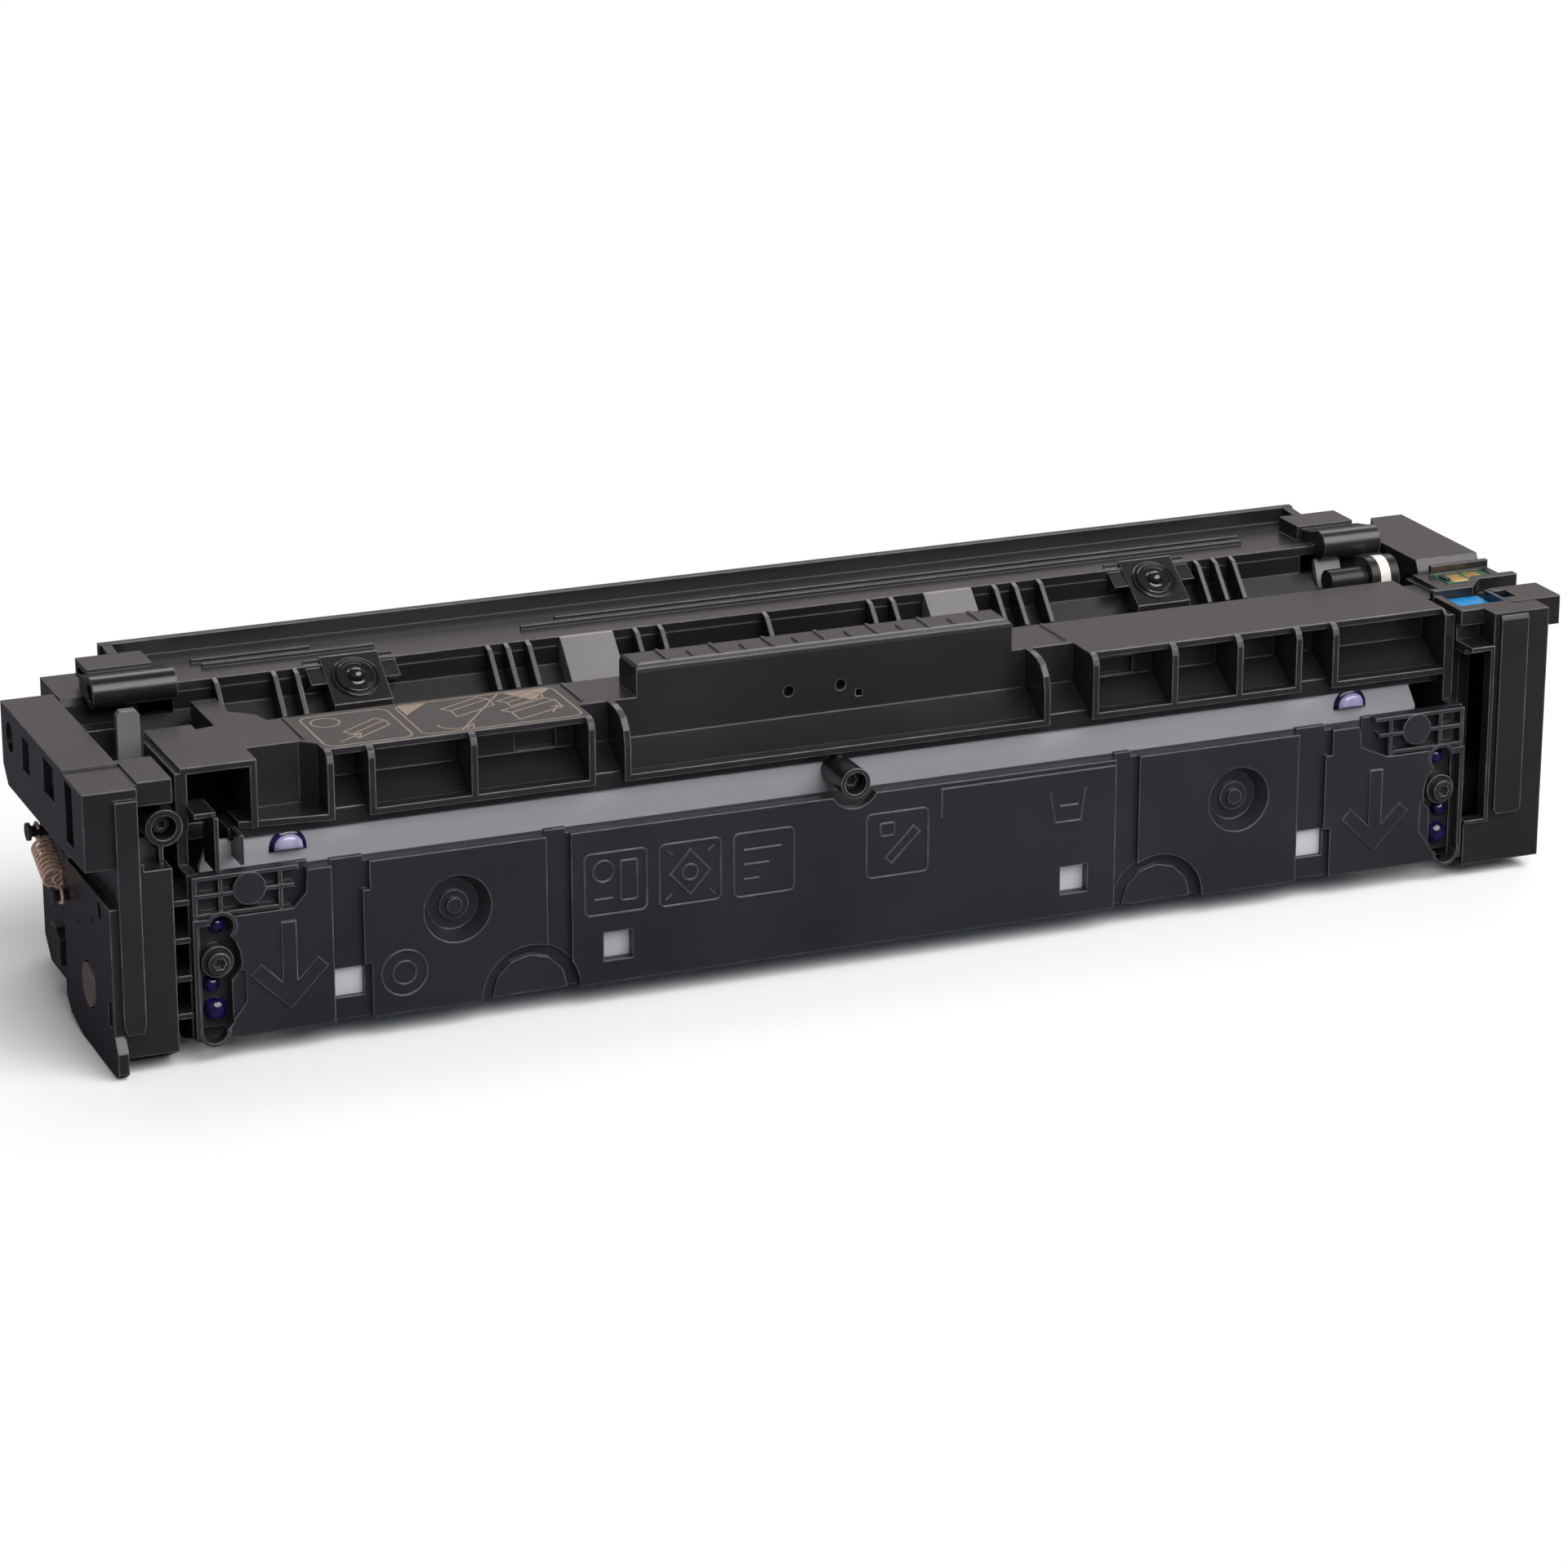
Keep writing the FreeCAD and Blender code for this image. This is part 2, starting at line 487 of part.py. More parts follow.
# handle: rounded ends, rounded long edges, grip ridges and two small holes
STEPS = ((0, 1), (0.13, 0.5), (0.5, 0.13), (1, 0))
pad(frame, "XZ", "pocket_back", "pocket_back + handle_deep",
    [("-handle_left", "beam_bottom + 6"), ("handle_right", "beam_bottom + 6")]
    + [(f"handle_right - handle_round * {a}", f"handle_top - handle_round * {b}")
       for a, b in STEPS]
    + [(f"-handle_left + handle_round * {a}", f"handle_top - handle_round * {b}")
       for a, b in reversed(STEPS)])
for face, way in (("pocket_back", 1), ("pocket_back + handle_deep", -1)):
    cut(frame, "YZ", "-handle_left", "handle_right",
        [(f"{face} + {way} * handle_round * {a}", f"handle_top - handle_round * {b}")
         for a, b in STEPS] + [(face, "handle_top + 1"), (f"{face} - {way}", "handle_top")])
ridge = pad(frame, "XZ", "pocket_back + 1.8", "pocket_back + handle_deep - 1.6",
            rect("-36", "handle_top - 0.3", "-35.2", "handle_top + 0.35"))
copies(frame, [ridge], "X", "grip_pitch * 12", 7)
ridge = pad(frame, "XZ", "pocket_back + 2.2", "pocket_back + handle_deep - 4.4",
            rect("-36 + grip_pitch", "handle_top - 0.3", "-35.2 + grip_pitch", "handle_top + 0.35"))
copies(frame, [ridge], "X", "grip_pitch * 10", 6)
cut(frame, "XZ", "pocket_back", "pocket_back + 3", disc("-9.1", "57.1", "1.15"),
    disc("2.7", "57.1", "1.15"), rect("6.2", "54.2", "7.6", "55.6"))
# end plates with the drum's bearing holes
for start, end, front in (("-end_in - end_thick", "-end_in", "beam_front + 1.5"),
                          ("end_in", "end_in + end_thick", "beam_front")):
    pad(frame, "YZ", start, end,
        [(BACK, "panel_bottom"), (BACK, "panel_top + 1.2"), (front, "panel_top + 1.2"), (front, "beam_top - 1"),
         ("31", "beam_top - 1"), ("33", "46"), ("33", "31"), ("28.4", "27"), ("28.4", "8"),
         ("24", "2.5"), ("10", "2.5")])
cut(frame, "YZ", "-end_in - end_thick", "-end_in", disc("drum_y", "drum_z", "pin_radius + 0.02"))
cut(frame, "YZ", "end_in", "end_in + end_thick", disc("drum_y", "drum_z", "7"))
# walls behind the screw pockets, screw bosses
pad(frame, "XZ", BACK + " + 1", BACK + " + 2.6",
    *pair(rect("134", "panel_bottom + 1.6", "end_in", "arrow_top - 0.4")))
pad(frame, "XZ", "1", BACK + " + 2.6", *pair(disc("side_screw_x", "side_screw_z", "boss_radius")))
cut(frame, "XZ", "1", BACK + " + 1", *pair(disc("side_screw_x", "side_screw_z", "1.4")))
pad(frame, "XZ", "-0.5", "strip_y", disc("boss_x", "boss_z", "boss_radius"))
cut(frame, "XZ", "-0.5", "4", disc("boss_x", "boss_z", "boss_radius - 0.9"))
cut(frame, "XZ", "4", "strip_y", disc("boss_x", "boss_z", "1.4"))
pad(frame, "XZ", "8", "10.2", rect("boss_x - 0.7", "boss_z + 2", "boss_x + 0.7", "beam_bottom + 0.3"))
# fine raised lines beside the label's place
pad(frame, "XY", "beam_top - 0.3", "beam_top + 0.35",
    rect("-115.2", "17.6", "-114.5", "beam_back - 0.6"), rect("-54.8", "19.4", "-54.1", "beam_back - 0.6"),
    rect("55.6", "19.8", "56.3", "beam_back - 0.6"))

# ---- left end cover
left = new_body("left_end_cover")
pad(left, "YZ", "-side_out", "-side_in",
    [("0", "3.8"), ("8", "0"), ("25.5", "0"), ("34.2", "1.7"), ("37.6", "4.5"), ("37.6", "7.8"),
     ("36.6", "9"), ("36.6", "31"), ("33", "35.5"), ("0", "35.5")])
pad(left, "YZ", "-side_out", "-side_out + 2.2",
    [("-nose", "1.2"), ("-nose", "5.6"), ("0.2", "9"), ("10", "4"), ("10", "0"), ("0", "0")])
pad(left, "YZ", "-158.9", "-153.6", rect("0", "34", "20", "arm_low + 1"))
pad(left, "YZ", "-153.7", "-side_in", rect("0", "34", "20", "42.6"))
pad(left, "YZ", "-arm_out", "-arm_in",
    [("0", "arm_low + 0.7"), ("0", "arm_top"), ("arm_long", "arm_top"),
     ("arm_long", "arm_low + 3.8"), ("arm_long - 3.5", "arm_low"), ("33", "arm_low")])
pad(left, "YZ", "-arm_in - 1", "-146.8", rect("2", "arm_top - 5", "17", "arm_top"))
cut(left, "YZ", "-arm_out + shell + 0.6", "-arm_in",
    rect("3", "arm_low + 2.6", "52", "arm_top - 2"))
cut(left, "YZ", "-arm_out", "-arm_out + shell + 0.7",
    rect("41.4", "50.7", "47.6", "arm_top - 2.4"), rect("21.7", "51.4", "30.6", "arm_top - 1.6"),
    rect("7.7", "arm_low + 3", "14", "arm_top - 1.4"))
cut(left, "XY", "arm_top - 0.5", "arm_top", rect("-arm_out", "0", "-153.9", "15.3"))
cut(left, "YZ", "-side_out + 2.2", "-side_in",
    [("2.4", "6.5"), ("2.4", "33"), ("31.5", "33"), ("34", "30"), ("34", "8"), ("31", "4.8"),
     ("10", "2.4")])
pad(left, "YZ", "-side_out", "-side_in", disc("drum_y", "drum_z", "6.4"))
cut(left, "YZ", "-side_out", "-side_in", disc("drum_y", "drum_z", "pin_radius + 0.02"))
cut(left, "YZ", "-side_out", "-side_out + 0.8", disc("drum_y", "drum_z", "5.1"))
cut(left, "YZ", "-side_out", "-side_out + 2.2", rect("1.6", "10", "4.2", "15.4"),
    [("6.8", "31"), ("9.2", "31"), ("9.8", "34"), ("8.2", "34.8"), ("6.4", "33.6")],
    disc("14.4", "28.6", "0.9"), disc("25.6", "24.4", "0.9"))
cut(left, "YZ", "-arm_out", "-arm_in", disc("pivot_y", "pivot_z", "pivot_radius + running_gap"))
pad(left, "XZ", "-rib_out", "1",
    [("-159.3", "11"), ("-158.6", "9"), ("-155.3", "9"), ("-154.7", "11"), ("-154.7", "arm_top - 2.6"),
     ("-159.3", "arm_top - 2.6")])
pad(left, "XZ", "1", "3", rect("-158.9", "arm_low - 1", "-154.7", "arm_low + 2"))
pad(left, "XZ", "3", "14", disc("-148.4", "50", "3.8"))
pad(left, "XY", "50", "arm_top - 3", rect("-152", "10", "-148.4", "14"))
cut(left, "XZ", "3", "8", disc("-148.4", "50", "2.5"))
pad(left, "XZ", "5.6", "8.2", disc("-148.4", "50", "1.7"))
cut(left, "XZ", "5.6", "6.8", [(f"-148.4 + {u}", f"50 + {v}") for u, v in (
    ("0.9", "0"), ("0.45", "0.78"), ("-0.45", "0.78"), ("-0.9", "0"), ("-0.45", "-0.78"), ("0.45", "-0.78"))])
pad(left, "XZ", "3", "6", rect("-149.6", "42.2", "-148.8", "46.6"))
pad(left, "YZ", "-side_in - 1.4", "-end_in - end_thick",
    *[rect("1", low, "14.5", f"{low} + 1.2") for low in ("10", "18", "26", "34")])
pad(left, "YZ", "-side_out - 2.6", "-side_out", disc("post_y", "post_z", "post_radius"))
pad(left, "YZ", "-side_out - 3.1", "-side_out - 2.5", disc("post_y", "post_z", "post_radius + 0.7"))

# ---- right end cover
right = new_body("right_end_cover")
pad(right, "YZ", "right_in", "right_out",
    [("0", "3"), ("0", "arm_top - 0.2"), ("17", "arm_top - 0.2"), ("17", "57"), ("41", "57"), ("41", "42"),
     ("32", "35"), ("28.4", "31"), ("28.4", "9"), ("25.5", "0"), ("10", "0"), ("8", "3")])
cut(right, "XY", "34", "57.2", rect("right_in", "36", "151.4", "41.2"))
pad(right, "YZ", "arm_in + 0.4", "ear_out",
    [("38", "arm_low"), ("38", "57"), ("41", "57"), ("43", "arm_top"), ("right_long", "arm_top"),
     ("right_long", "arm_low + 4"), ("right_long - 4", "arm_low")])
cut(right, "XY", "arm_low", "arm_top",
    [("arm_in", "64.5"), ("arm_in + 3.4", "64.5"), ("arm_in + 8", "right_long"), ("arm_in", "right_long")])
cut(right, "YZ", "arm_in + 2.6", "ear_out - 2.2", rect("66", "arm_low + 2", "right_long - 2", "arm_top - 2"))
pad(right, "XY", "54", "arm_top", rect("158.5", "6.4", "ear_out", "17"))
pad(right, "XY", "50", "58.4", rect("152", "27", "ear_out", "39"))
cut(right, "XY", "54", "arm_top", rect("right_in + 1.5", "8", "157.5", "26"))
cut(right, "XY", "57.6", "arm_top", rect("158.2", "9.6", "161.4", "14.8"))
cut(right, "XY", "57", "arm_top", rect("155.4", "29.4", "168.8", "37.4"))
# bent wall between the colour key and the chip's holder
pad(right, "XY", "52", "arm_top - 0.1",
    [("146.4", "20"), ("156.4", "20"), ("160.6", "25"), ("ear_out", "25"), ("ear_out", "27.2"),
     ("159.7", "27.2"), ("155.7", "21.6"), ("146.4", "21.6")])
pad(right, "XZ", "37.9", "39.1", rect("156", "58", "ear_out", "60.2"))
cut(right, "YZ", "right_in", "right_out - 2.2",
    [("2.4", "5.5"), ("2.4", "51"), ("24", "51"), ("24", "36"), ("26.2", "30"), ("26.2", "9"),
     ("23.6", "2.4"), ("11", "2.4")])
# walls in the tall recess
pad(right, "XZ", "9", "10.2", rect("right_in", "12", "147.2", "51.4"))
pad(right, "XZ", "10.1", "11.3", rect("146.6", "12", "150.4", "51.4"))
pad(right, "YZ", "right_in", "right_out", disc("drum_y", "drum_z", "9"))
cut(right, "YZ", "right_in", "right_out", disc("drum_y", "drum_z", "7.4"))
cut(right, "XZ", "0", "2.4", rect("right_in", "13.4", "149.6", "52"))
cut(right, "XZ", "0", "6.6", rect("right_in", "53.2", "150.4", "56.8"))
cut(right, "XZ", "0", "4.8", rect("right_in", "56.7", "150.4", "arm_top"))
pad(right, "XZ", "-0.5", "1", rect("149.6", "12.6", "150.5", "53.2"))
pad(right, "XZ", "-0.5", "1", rect("right_in", "52.2", "149.7", "53.2"), rect("right_in", "12.6", "149.7", "13.4"))
pad(right, "XZ", "-rib_out", "1",
    [("151.6", "15.4"), ("152.4", "14.3"), ("157.6", "14.3"), ("158.3", "15.4"), ("158.3", "arm_top - 0.2"),
     ("151.6", "arm_top - 0.2")])
cut(right, "YZ", "151.6", "158.3",
    [("-rib_out", "arm_top - 0.2"), ("-rib_out", "arm_top - 1.6"), ("-rib_out + 0.4", "arm_top - 0.7"),
     ("-rib_out + 1.2", "arm_top - 0.2")])
cut(right, "YZ", "arm_in + 0.4", "ear_out - 2", disc("pivot_y", "pivot_z", "pivot_radius + running_gap"))
pad(right, "YZ", "right_out - 0.5", "right_out + 4.4", disc("right_post_y", "right_post_z", "post_radius"))
pad(right, "YZ", "right_out + 4", "right_out + 4.6", disc("right_post_y", "right_post_z", "post_radius + 0.7"))

# ---- sheet-metal bracket and rubber blade: one leg shows in the slot, one leads to the drum
bracket = new_body("blade_bracket")
pad(bracket, "YZ", "-139.5", "137.4",
    [("strip_y", "beam_bottom - 2.45"), ("strip_y", "36.2"), ("17.66", "28.5"), ("18.54", "29.32"),
     ("strip_y + sheet", "36.7"), ("strip_y + sheet", "beam_bottom - 2.45")])
cut(bracket, "XZ", "strip_y", "20",
    [("-139.5", "44"), ("-137.2", "44"), ("-139.5", "38")], [("137.4", "44"), ("135", "44"), ("137.4", "38")])
cut(bracket, "XZ", "strip_y", "strip_y + sheet", disc("boss_x", "boss_z", "1.4"))
blade = new_body("cleaning_blade")
pad(blade, "YZ", "-charge_half", "charge_half",
    [("15.0", "33.2"), ("22.4", "25.3"), ("23.5", "26.4"), ("16.2", "34.3")])

# ---- pale sheet behind the panel's windows
window_plate = new_body("window_plate")
pad(window_plate, "XZ", BACK, BACK + " + 0.6", rect("-118", "window_low - 1.6", "114", "cup_z - cup_radius - 1"))

# ---- film that closes the gap between the panel's lower lip and the drum
film = new_body("recovery_sheet")
pad(film, "XY", "panel_bottom + shell", "panel_bottom + shell + 0.2", rect("-charge_half", "3.6", "charge_half", "8.3"))

# ---- drum: coated tube, two flanges, drive dog
tube = new_body("drum_tube")
pad(tube, "YZ", "-drum_half", "drum_half", disc("drum_y", "drum_z", "drum_radius"),
    disc("drum_y", "drum_z", "drum_radius - drum_wall"))
flange = new_body("drum_flange_left")
pad(flange, "YZ", "-drum_half - rim_long", "-drum_half", disc("drum_y", "drum_z", "drum_radius"))
pad(flange, "YZ", "-drum_half", "-drum_half + 8", disc("drum_y", "drum_z", "drum_radius - drum_wall"))
cut(flange, "YZ", "-drum_half + 2", "-drum_half + 8", disc("drum_y", "drum_z", "drum_radius - drum_wall - 2"))
pad(flange, "YZ", "-drum_half + 1", "-drum_half + 8", disc("drum_y", "drum_z", "pin_radius + 2.4"))
cut(flange, "YZ", "-drum_half - rim_long", "-drum_half + 8", disc("drum_y", "drum_z", "pin_radius + running_gap"))
flange = new_body("drum_flange_right")
pad(flange, "YZ", "drum_half", "drum_half + rim_long", disc("drum_y", "drum_z", "drum_radius"))
pad(flange, "YZ", "drum_half - 8", "drum_half", disc("drum_y", "drum_z", "drum_radius - drum_wall"))
pad(flange, "YZ", "drum_half + rim_long", "right_out - 4", disc("drum_y", "drum_z", "6"))
pad(flange, "YZ", "right_out - 4", "right_out + 1.4",
    [("drum_y + 4.6", "drum_z"), ("drum_y - 2.3", "drum_z + 4"), ("drum_y - 2.3", "drum_z - 4")])
pin = new_body("drum_pin")
pad(pin, "YZ", "-side_out + 0.1", "-drum_half + 7", disc("drum_y", "drum_z", "pin_radius"))
pad(pin, "YZ", "-side_out - 0.3", "-side_out + 0.8", disc("drum_y", "drum_z", "4.6"))
ring = new_body("drum_bearing")
pad(ring, "YZ", "end_in", "end_in + end_thick", disc("drum_y", "drum_z", "6.98"),
    disc("drum_y", "drum_z", "6 + running_gap"))

# ---- charge roller
rubber = new_body("charge_roller_rubber")
pad(rubber, "YZ", "-charge_half", "charge_half", disc("charge_y", "charge_z", "charge_radius"),
    disc("charge_y", "charge_z", "charge_shaft"))
shaft = new_body("charge_roller_shaft")
pad(shaft, "YZ", "-138.6", "138.6", disc("charge_y", "charge_z", "charge_shaft"))
for label, start, end in (("charge_bearing_left", "-end_in", "-133.4"),
                          ("charge_bearing_right", "133.4", "end_in")):
    bearing = new_body(label)
    pad(bearing, "YZ", start, end,
        [("charge_y - 3.6", "charge_z - 3.4"), ("charge_y + 3.6", "charge_z - 3.4"),
         ("charge_y + 3.6", "charge_z + 3.6"), ("charge_y + 2", "charge_z + 5"),
         ("charge_y - 2", "charge_z + 5"), ("charge_y - 3.6", "charge_z + 3.6")])
    cut(bearing, "YZ", start, end, disc("charge_y", "charge_z", "charge_shaft + running_gap"))

# ---- hopper: hollow, open at the top for the lid and at the front for the roller
hopper = new_body("toner_hopper")
pad(hopper, "YZ", "-hopper_half", "hopper_half",
    [("33.5", "8"), ("36", "3.4"), ("44", "1.8"), ("58", "0"), ("back_face - 4", "0"), ("back_face", "4"),
     ("back_face", "lid_z"), ("54.5", "lid_z"), ("54.5", "57"), ("46", "49"), ("36.2", "40"),
     ("36.2", "29"), ("34.2", "26"), ("31.8", "22"), ("31.8", "11")])
cut(hopper, "YZ", "-hopper_half + 3", "hopper_half - 3",
    [("30", "9.6"), ("34.6", "9.6"), ("37.6", "5.6"), ("44.6", "3.8"), ("58.2", "wall"),
     ("back_face - 5", "wall"), ("back_face - wall", "5"), ("back_face - wall", "lid_z"), ("56.5", "lid_z"),
     ("56.5", "56"), ("47.6", "47.6"), ("38.2", "39"), ("38.2", "26.6"), ("30", "26.6")])
for side in ("-1", "1"):
    cut(hopper, "XZ", "50", "58.4", rect(f"{side} * 131.6", "56.6", f"{side} * hopper_half", "lid_z"))
cut(hopper, "YZ", "-hopper_half", "hopper_half", disc("roller_y", "roller_z", "roller_shaft + running_gap"))
cut(hopper, "YZ", "-hopper_half", "hopper_half", disc("supply_y", "supply_z", "supply_shaft + running_gap"))
cut(hopper, "YZ", "-hopper_half", "hopper_half", disc(STIR_Y, STIR_Z, "stir_shaft + running_gap"))
cut(hopper, "YZ", "hopper_half - 3", "hopper_half", disc(DRIVE_Y, DRIVE_Z, "drive_journal + running_gap"))

# stub shaft on a web, with a disc on each side of its ring
pad(hopper, "YZ", "133.6", "136", [("stub_y - 1.4", "46.8"), ("stub_y - 1.4", "stub_z"), ("stub_y + 1.4", "stub_z"), ("stub_y + 1.4", "49")])
pad(hopper, "YZ", "133.4", "147.3", disc("stub_y", "stub_z", "stub_radius"))
pad(hopper, "YZ", "142.6", "144.7", disc("stub_y", "stub_z", "stub_ring"))
pad(hopper, "YZ", "147.2", "149.4", disc("stub_y", "stub_z", "stub_ring"))
cut(hopper, "YZ", "148.6", "149.4", disc("stub_y", "stub_z", "stub_ring - 1.4"))
# shallow panels in the rear wall and the belly, filling hole with its rim
cut(hopper, "XZ", "back_face - 0.8", "back_face",
    *[rect(f"-133 + {44.6 * k}", "9", f"-91 + {44.6 * k}", "27.4") for k in range(6)],
    *[rect(f"-133 + {44.6 * k}", "29.4", f"-91 + {44.6 * k}", "53") for k in range(6)])
cut(hopper, "XY", "0", "0.8", rect("16", "60", "66", "72"), rect("70", "60", "128", "72"),
    rect("-66", "60", "-16", "72"), rect("-128", "60", "-70", "72"))
pad(hopper, "XZ", "back_face - wall", "back_face", disc("cap_x", "cap_z", "cap_radius + 2.4"),
    disc("cap_x", "cap_z", "cap_radius + 0.9"))
cut(hopper, "XZ", "back_face - wall", "back_face", disc("cap_x", "cap_z", "cap_radius"))
cap = new_body("filling_cap")
pad(cap, "XZ", "back_face - wall + 0.1", "back_face - 0.4", disc("cap_x", "cap_z", "cap_radius - 0.02"))
cut(cap, "XZ", "back_face - 1.1", "back_face - 0.4", disc("cap_x", "cap_z", "cap_radius - 2.4"),
    disc("cap_x", "cap_z", "3.2"))

# ---- lid: tray with rear rail, long ribs, fins, square plates, ears and barrels
lid = new_body("hopper_lid")
pad(lid, "YZ", "-hopper_half", "hopper_half",
    [("54.5", "lid_z"), ("54.5", "lid_z + 2"), ("57.5", "lid_z + 2"), ("58", "lid_z + lid_thick"),
     ("back_face - 1.8", "lid_z + lid_thick"), ("back_face - 1.8", "rail_top"), ("back_face", "rail_top"),
     ("back_face", "lid_z")])
for side in ("-1", "1"):
    pad(lid, "YZ", f"{side} * 139.5 - 1", f"{side} * 139.5 + 1",
        [("54.5", "lid_z"), ("54.5", "lid_z + 3.4"), ("back_face", "rail_top"), ("back_face", "lid_z")])
# fins down the front slope: a comb of thin walls, trimmed above and below the slope
FINS = ("-122.6", "-110", "-105.3", "-62.8", "-58.7", "-53.9", "-29.5", "-23.8", "0.5", "25",
        "30.3", "55", "59.8", "65.9", "104.7", "109.1", "113.5")
pad(lid, "XY", "49.2", "lid_z + 2",
    *[rect(f"{place} - 0.5", "46.2", f"{place} + 0.5", "54.5") for place in FINS])
cut(lid, "YZ", "-124", "115",
    [("54.5", "lid_z + 2"), ("52.4", "lid_z + 1.4"), ("46.2", "55.6"), ("46", "lid_z + 3")],
    [("46.2", "49.6"), ("54.5", "57.4"), ("54.5", "49"), ("46.2", "49")])
for side in ("-1", "1"):
    pad(lid, "YZ", f"{side} * tile_x - tile_half", f"{side} * tile_x + tile_half",
        [("56.8", "lid_z"), ("56.8", "lid_z + 1"), ("56.2", "64.2"), ("45.6", "64.2 - 10.6 * tan(tile_angle)"),
         ("45.6", "49.1"), ("54.5", "57.5"), ("54.5", "lid_z")])
    # triangular gussets beside the square plates
    pad(lid, "YZ", f"{side} * tile_x - tile_half - 3.4", f"{side} * tile_x + tile_half + 3.4",
        [("58.4", "lid_z"), ("58.4", "lid_z + 1"), ("56.6", "63.6"), ("50.4", "60"), ("54.5", "57.5"),
         ("54.5", "lid_z")])
# long thin ribs on the tray, in pairs
pad(lid, "XY", "lid_z + 1", "lid_z + lid_thick + 0.9",
    rect("-124", "66.6", "-98", "67.5"), rect("-122.6", "63", "-85", "63.9"),
    rect("-43", "66.6", "122", "67.5"), rect("-52", "63", "121", "63.9"))
# ears and barrels
for side, start, end in (("-1", "-148", "-134"), ("1", "134", "148")):
    pad(lid, "YZ", start, end, rect("60.6", "lid_z + 1.2", "69.4", "rail_top"))
    start, end = ("-barrel_out", "-131.6") if side == "-1" else ("135.2", "barrel_out")
    pad(lid, "YZ", start, end, disc("barrel_y", "barrel_z", "barrel_radius"))
    pad(lid, "YZ", start, end,
        [("barrel_y + 1.6", "lid_z"), ("barrel_y + 1.6", "barrel_z + 2.8"), ("61", "rail_top - 1"), ("61", "lid_z + 1.2"),
         ("58.6", "lid_z")])
cut(lid, "YZ", "-148", "-138", rect("62", "lid_z + 2.2", "68", "rail_top - 1.2"))
cut(lid, "YZ", "138", "148", rect("62", "lid_z + 2.2", "68", "rail_top - 1.2"))
cut(lid, "YZ", "-barrel_out", "-barrel_out + 12", disc("barrel_y", "barrel_z", "barrel_bore"))
cut(lid, "YZ", "barrel_out - 12", "barrel_out", disc("barrel_y", "barrel_z", "barrel_bore"))

# ---- glossy inserts in the lid's front slope
inserts = new_body("lid_inserts")
for start, end in (("-46.6", "-34.6"), ("38.1", "49.5")):
    pad(inserts, "YZ", start, end,
        [("54.45", "lid_z + 2"), ("53.6", "lid_z + 1.8"), ("45.6", "54.6"), ("45.6", "48.8"), ("54.45", "57.1")])
pad(inserts, "YZ", "134.6", "140.9", [("54.2", "59.9"), ("53.4", "59.9"), ("50.9", "53.7"), ("54.2", "56.8")])

# ---- stepped discs with a dome on the square plates
domes = new_body("lid_domes")
turned = spin(domes, "XZ", "0", "0",
              [("0", "0"), ("5.2", "0"), ("5.2", "0.5"), ("4", "0.5"), ("4", "0.9"), ("2.4", "0.9"), ("2.2", "1.6"),
               ("1.2", "2.3"), ("0", "2.5")])
copies(domes, [turned], "X", "tile_x * 2", 2)
domes.setExpression("Placement.Base.x", bound(f"{MOVE_X} - tile_x"))
domes.setExpression("Placement.Base.y", bound(f"{MOVE_Y} + 50.9"))
domes.setExpression("Placement.Base.z", bound("64.2 - 5.3 * tan(tile_angle)"))
domes.Placement.Rotation = FreeCAD.Rotation(FreeCAD.Vector(1, 0, 0), 35)
domes.setExpression("Placement.Rotation.Angle", bound("tile_angle"))

# ---- developer covers with the pivot pins
profile = [("38.8", "8"), ("38.8", "37"), ("42.6", "44"), ("42.6", "50"), ("50", "50"), ("50.4", "56"),
           ("54", "56.3"), ("58.6", "59"), ("60", "lid_z - 0.4"), ("76", "lid_z - 0.4"), ("76", "6"), ("72.5", "3.4"),
           ("42", "3.4")]
cover = new_body("developer_cover_left")
pad(cover, "YZ", "-cover_out", "-hopper_half", profile)
cut(cover, "YZ", "-cover_out + wall", "-hopper_half",
    [("41", "8"), ("41", "36.4"), ("45", "44"), ("52", "48"), ("62", "48"), ("73.8", "48"), ("73.8", "7"), ("71.5", "5.6"), ("43", "5.6")])
pad(cover, "YZ", "-side_out + 2.1", "-cover_out + 0.1",
    [("39.4", "9"), ("39.4", "27"), ("46", "37"), ("50", "41"), ("58", "41"), ("62.5", "37"), ("62.5", "9"),
     ("58", "4.5"), ("43", "4.5")])
pad(cover, "YZ", "-arm_out + 0.8", "-cover_out + 0.1", disc("pivot_y", "pivot_z", "pivot_radius"))
pad(cover, "YZ", "-spring_x - 1.6", "-side_out + 2.2", disc("hook_y", "hook_z", "post_radius"))
pad(cover, "YZ", "-spring_x - 2.2", "-spring_x - 1.5", disc("hook_y", "hook_z", "post_radius + 0.7"))
pad(cover, "YZ", "-side_out - 0.6", "-side_out + 2.2",
    [("40", "9.6"), ("40", "15.6"), ("42.4", "17.6"), ("46.4", "17.6"), ("46.4", "13"), ("44", "13"), ("44", "15"),
     ("42.4", "15"), ("42.4", "9.6")])
cover = new_body("developer_cover_right")
pad(cover, "YZ", "hopper_half", "cover_out", profile)
cut(cover, "YZ", "hopper_half", "cover_out - wall",
    [("37", "6"), ("37", "36.4"), ("45", "44"), ("52", "48"), ("62", "48"), ("73.8", "48"), ("73.8", "7"), ("71.5", "4.9"), ("43", "4.9"), ("37", "4.9")])
pad(cover, "YZ", "cover_out - 0.1", "ear_out - 2.8", disc("pivot_y", "pivot_z", "pivot_radius"))
cut(cover, "YZ", "cover_out - wall", "cover_out", disc(DRIVE_Y, DRIVE_Z, "coupling_radius + running_gap"))
pad(cover, "YZ", "cover_out - wall", "right_out + 4.4", disc("hook_y + 6", "hook_z + 1", "post_radius"))
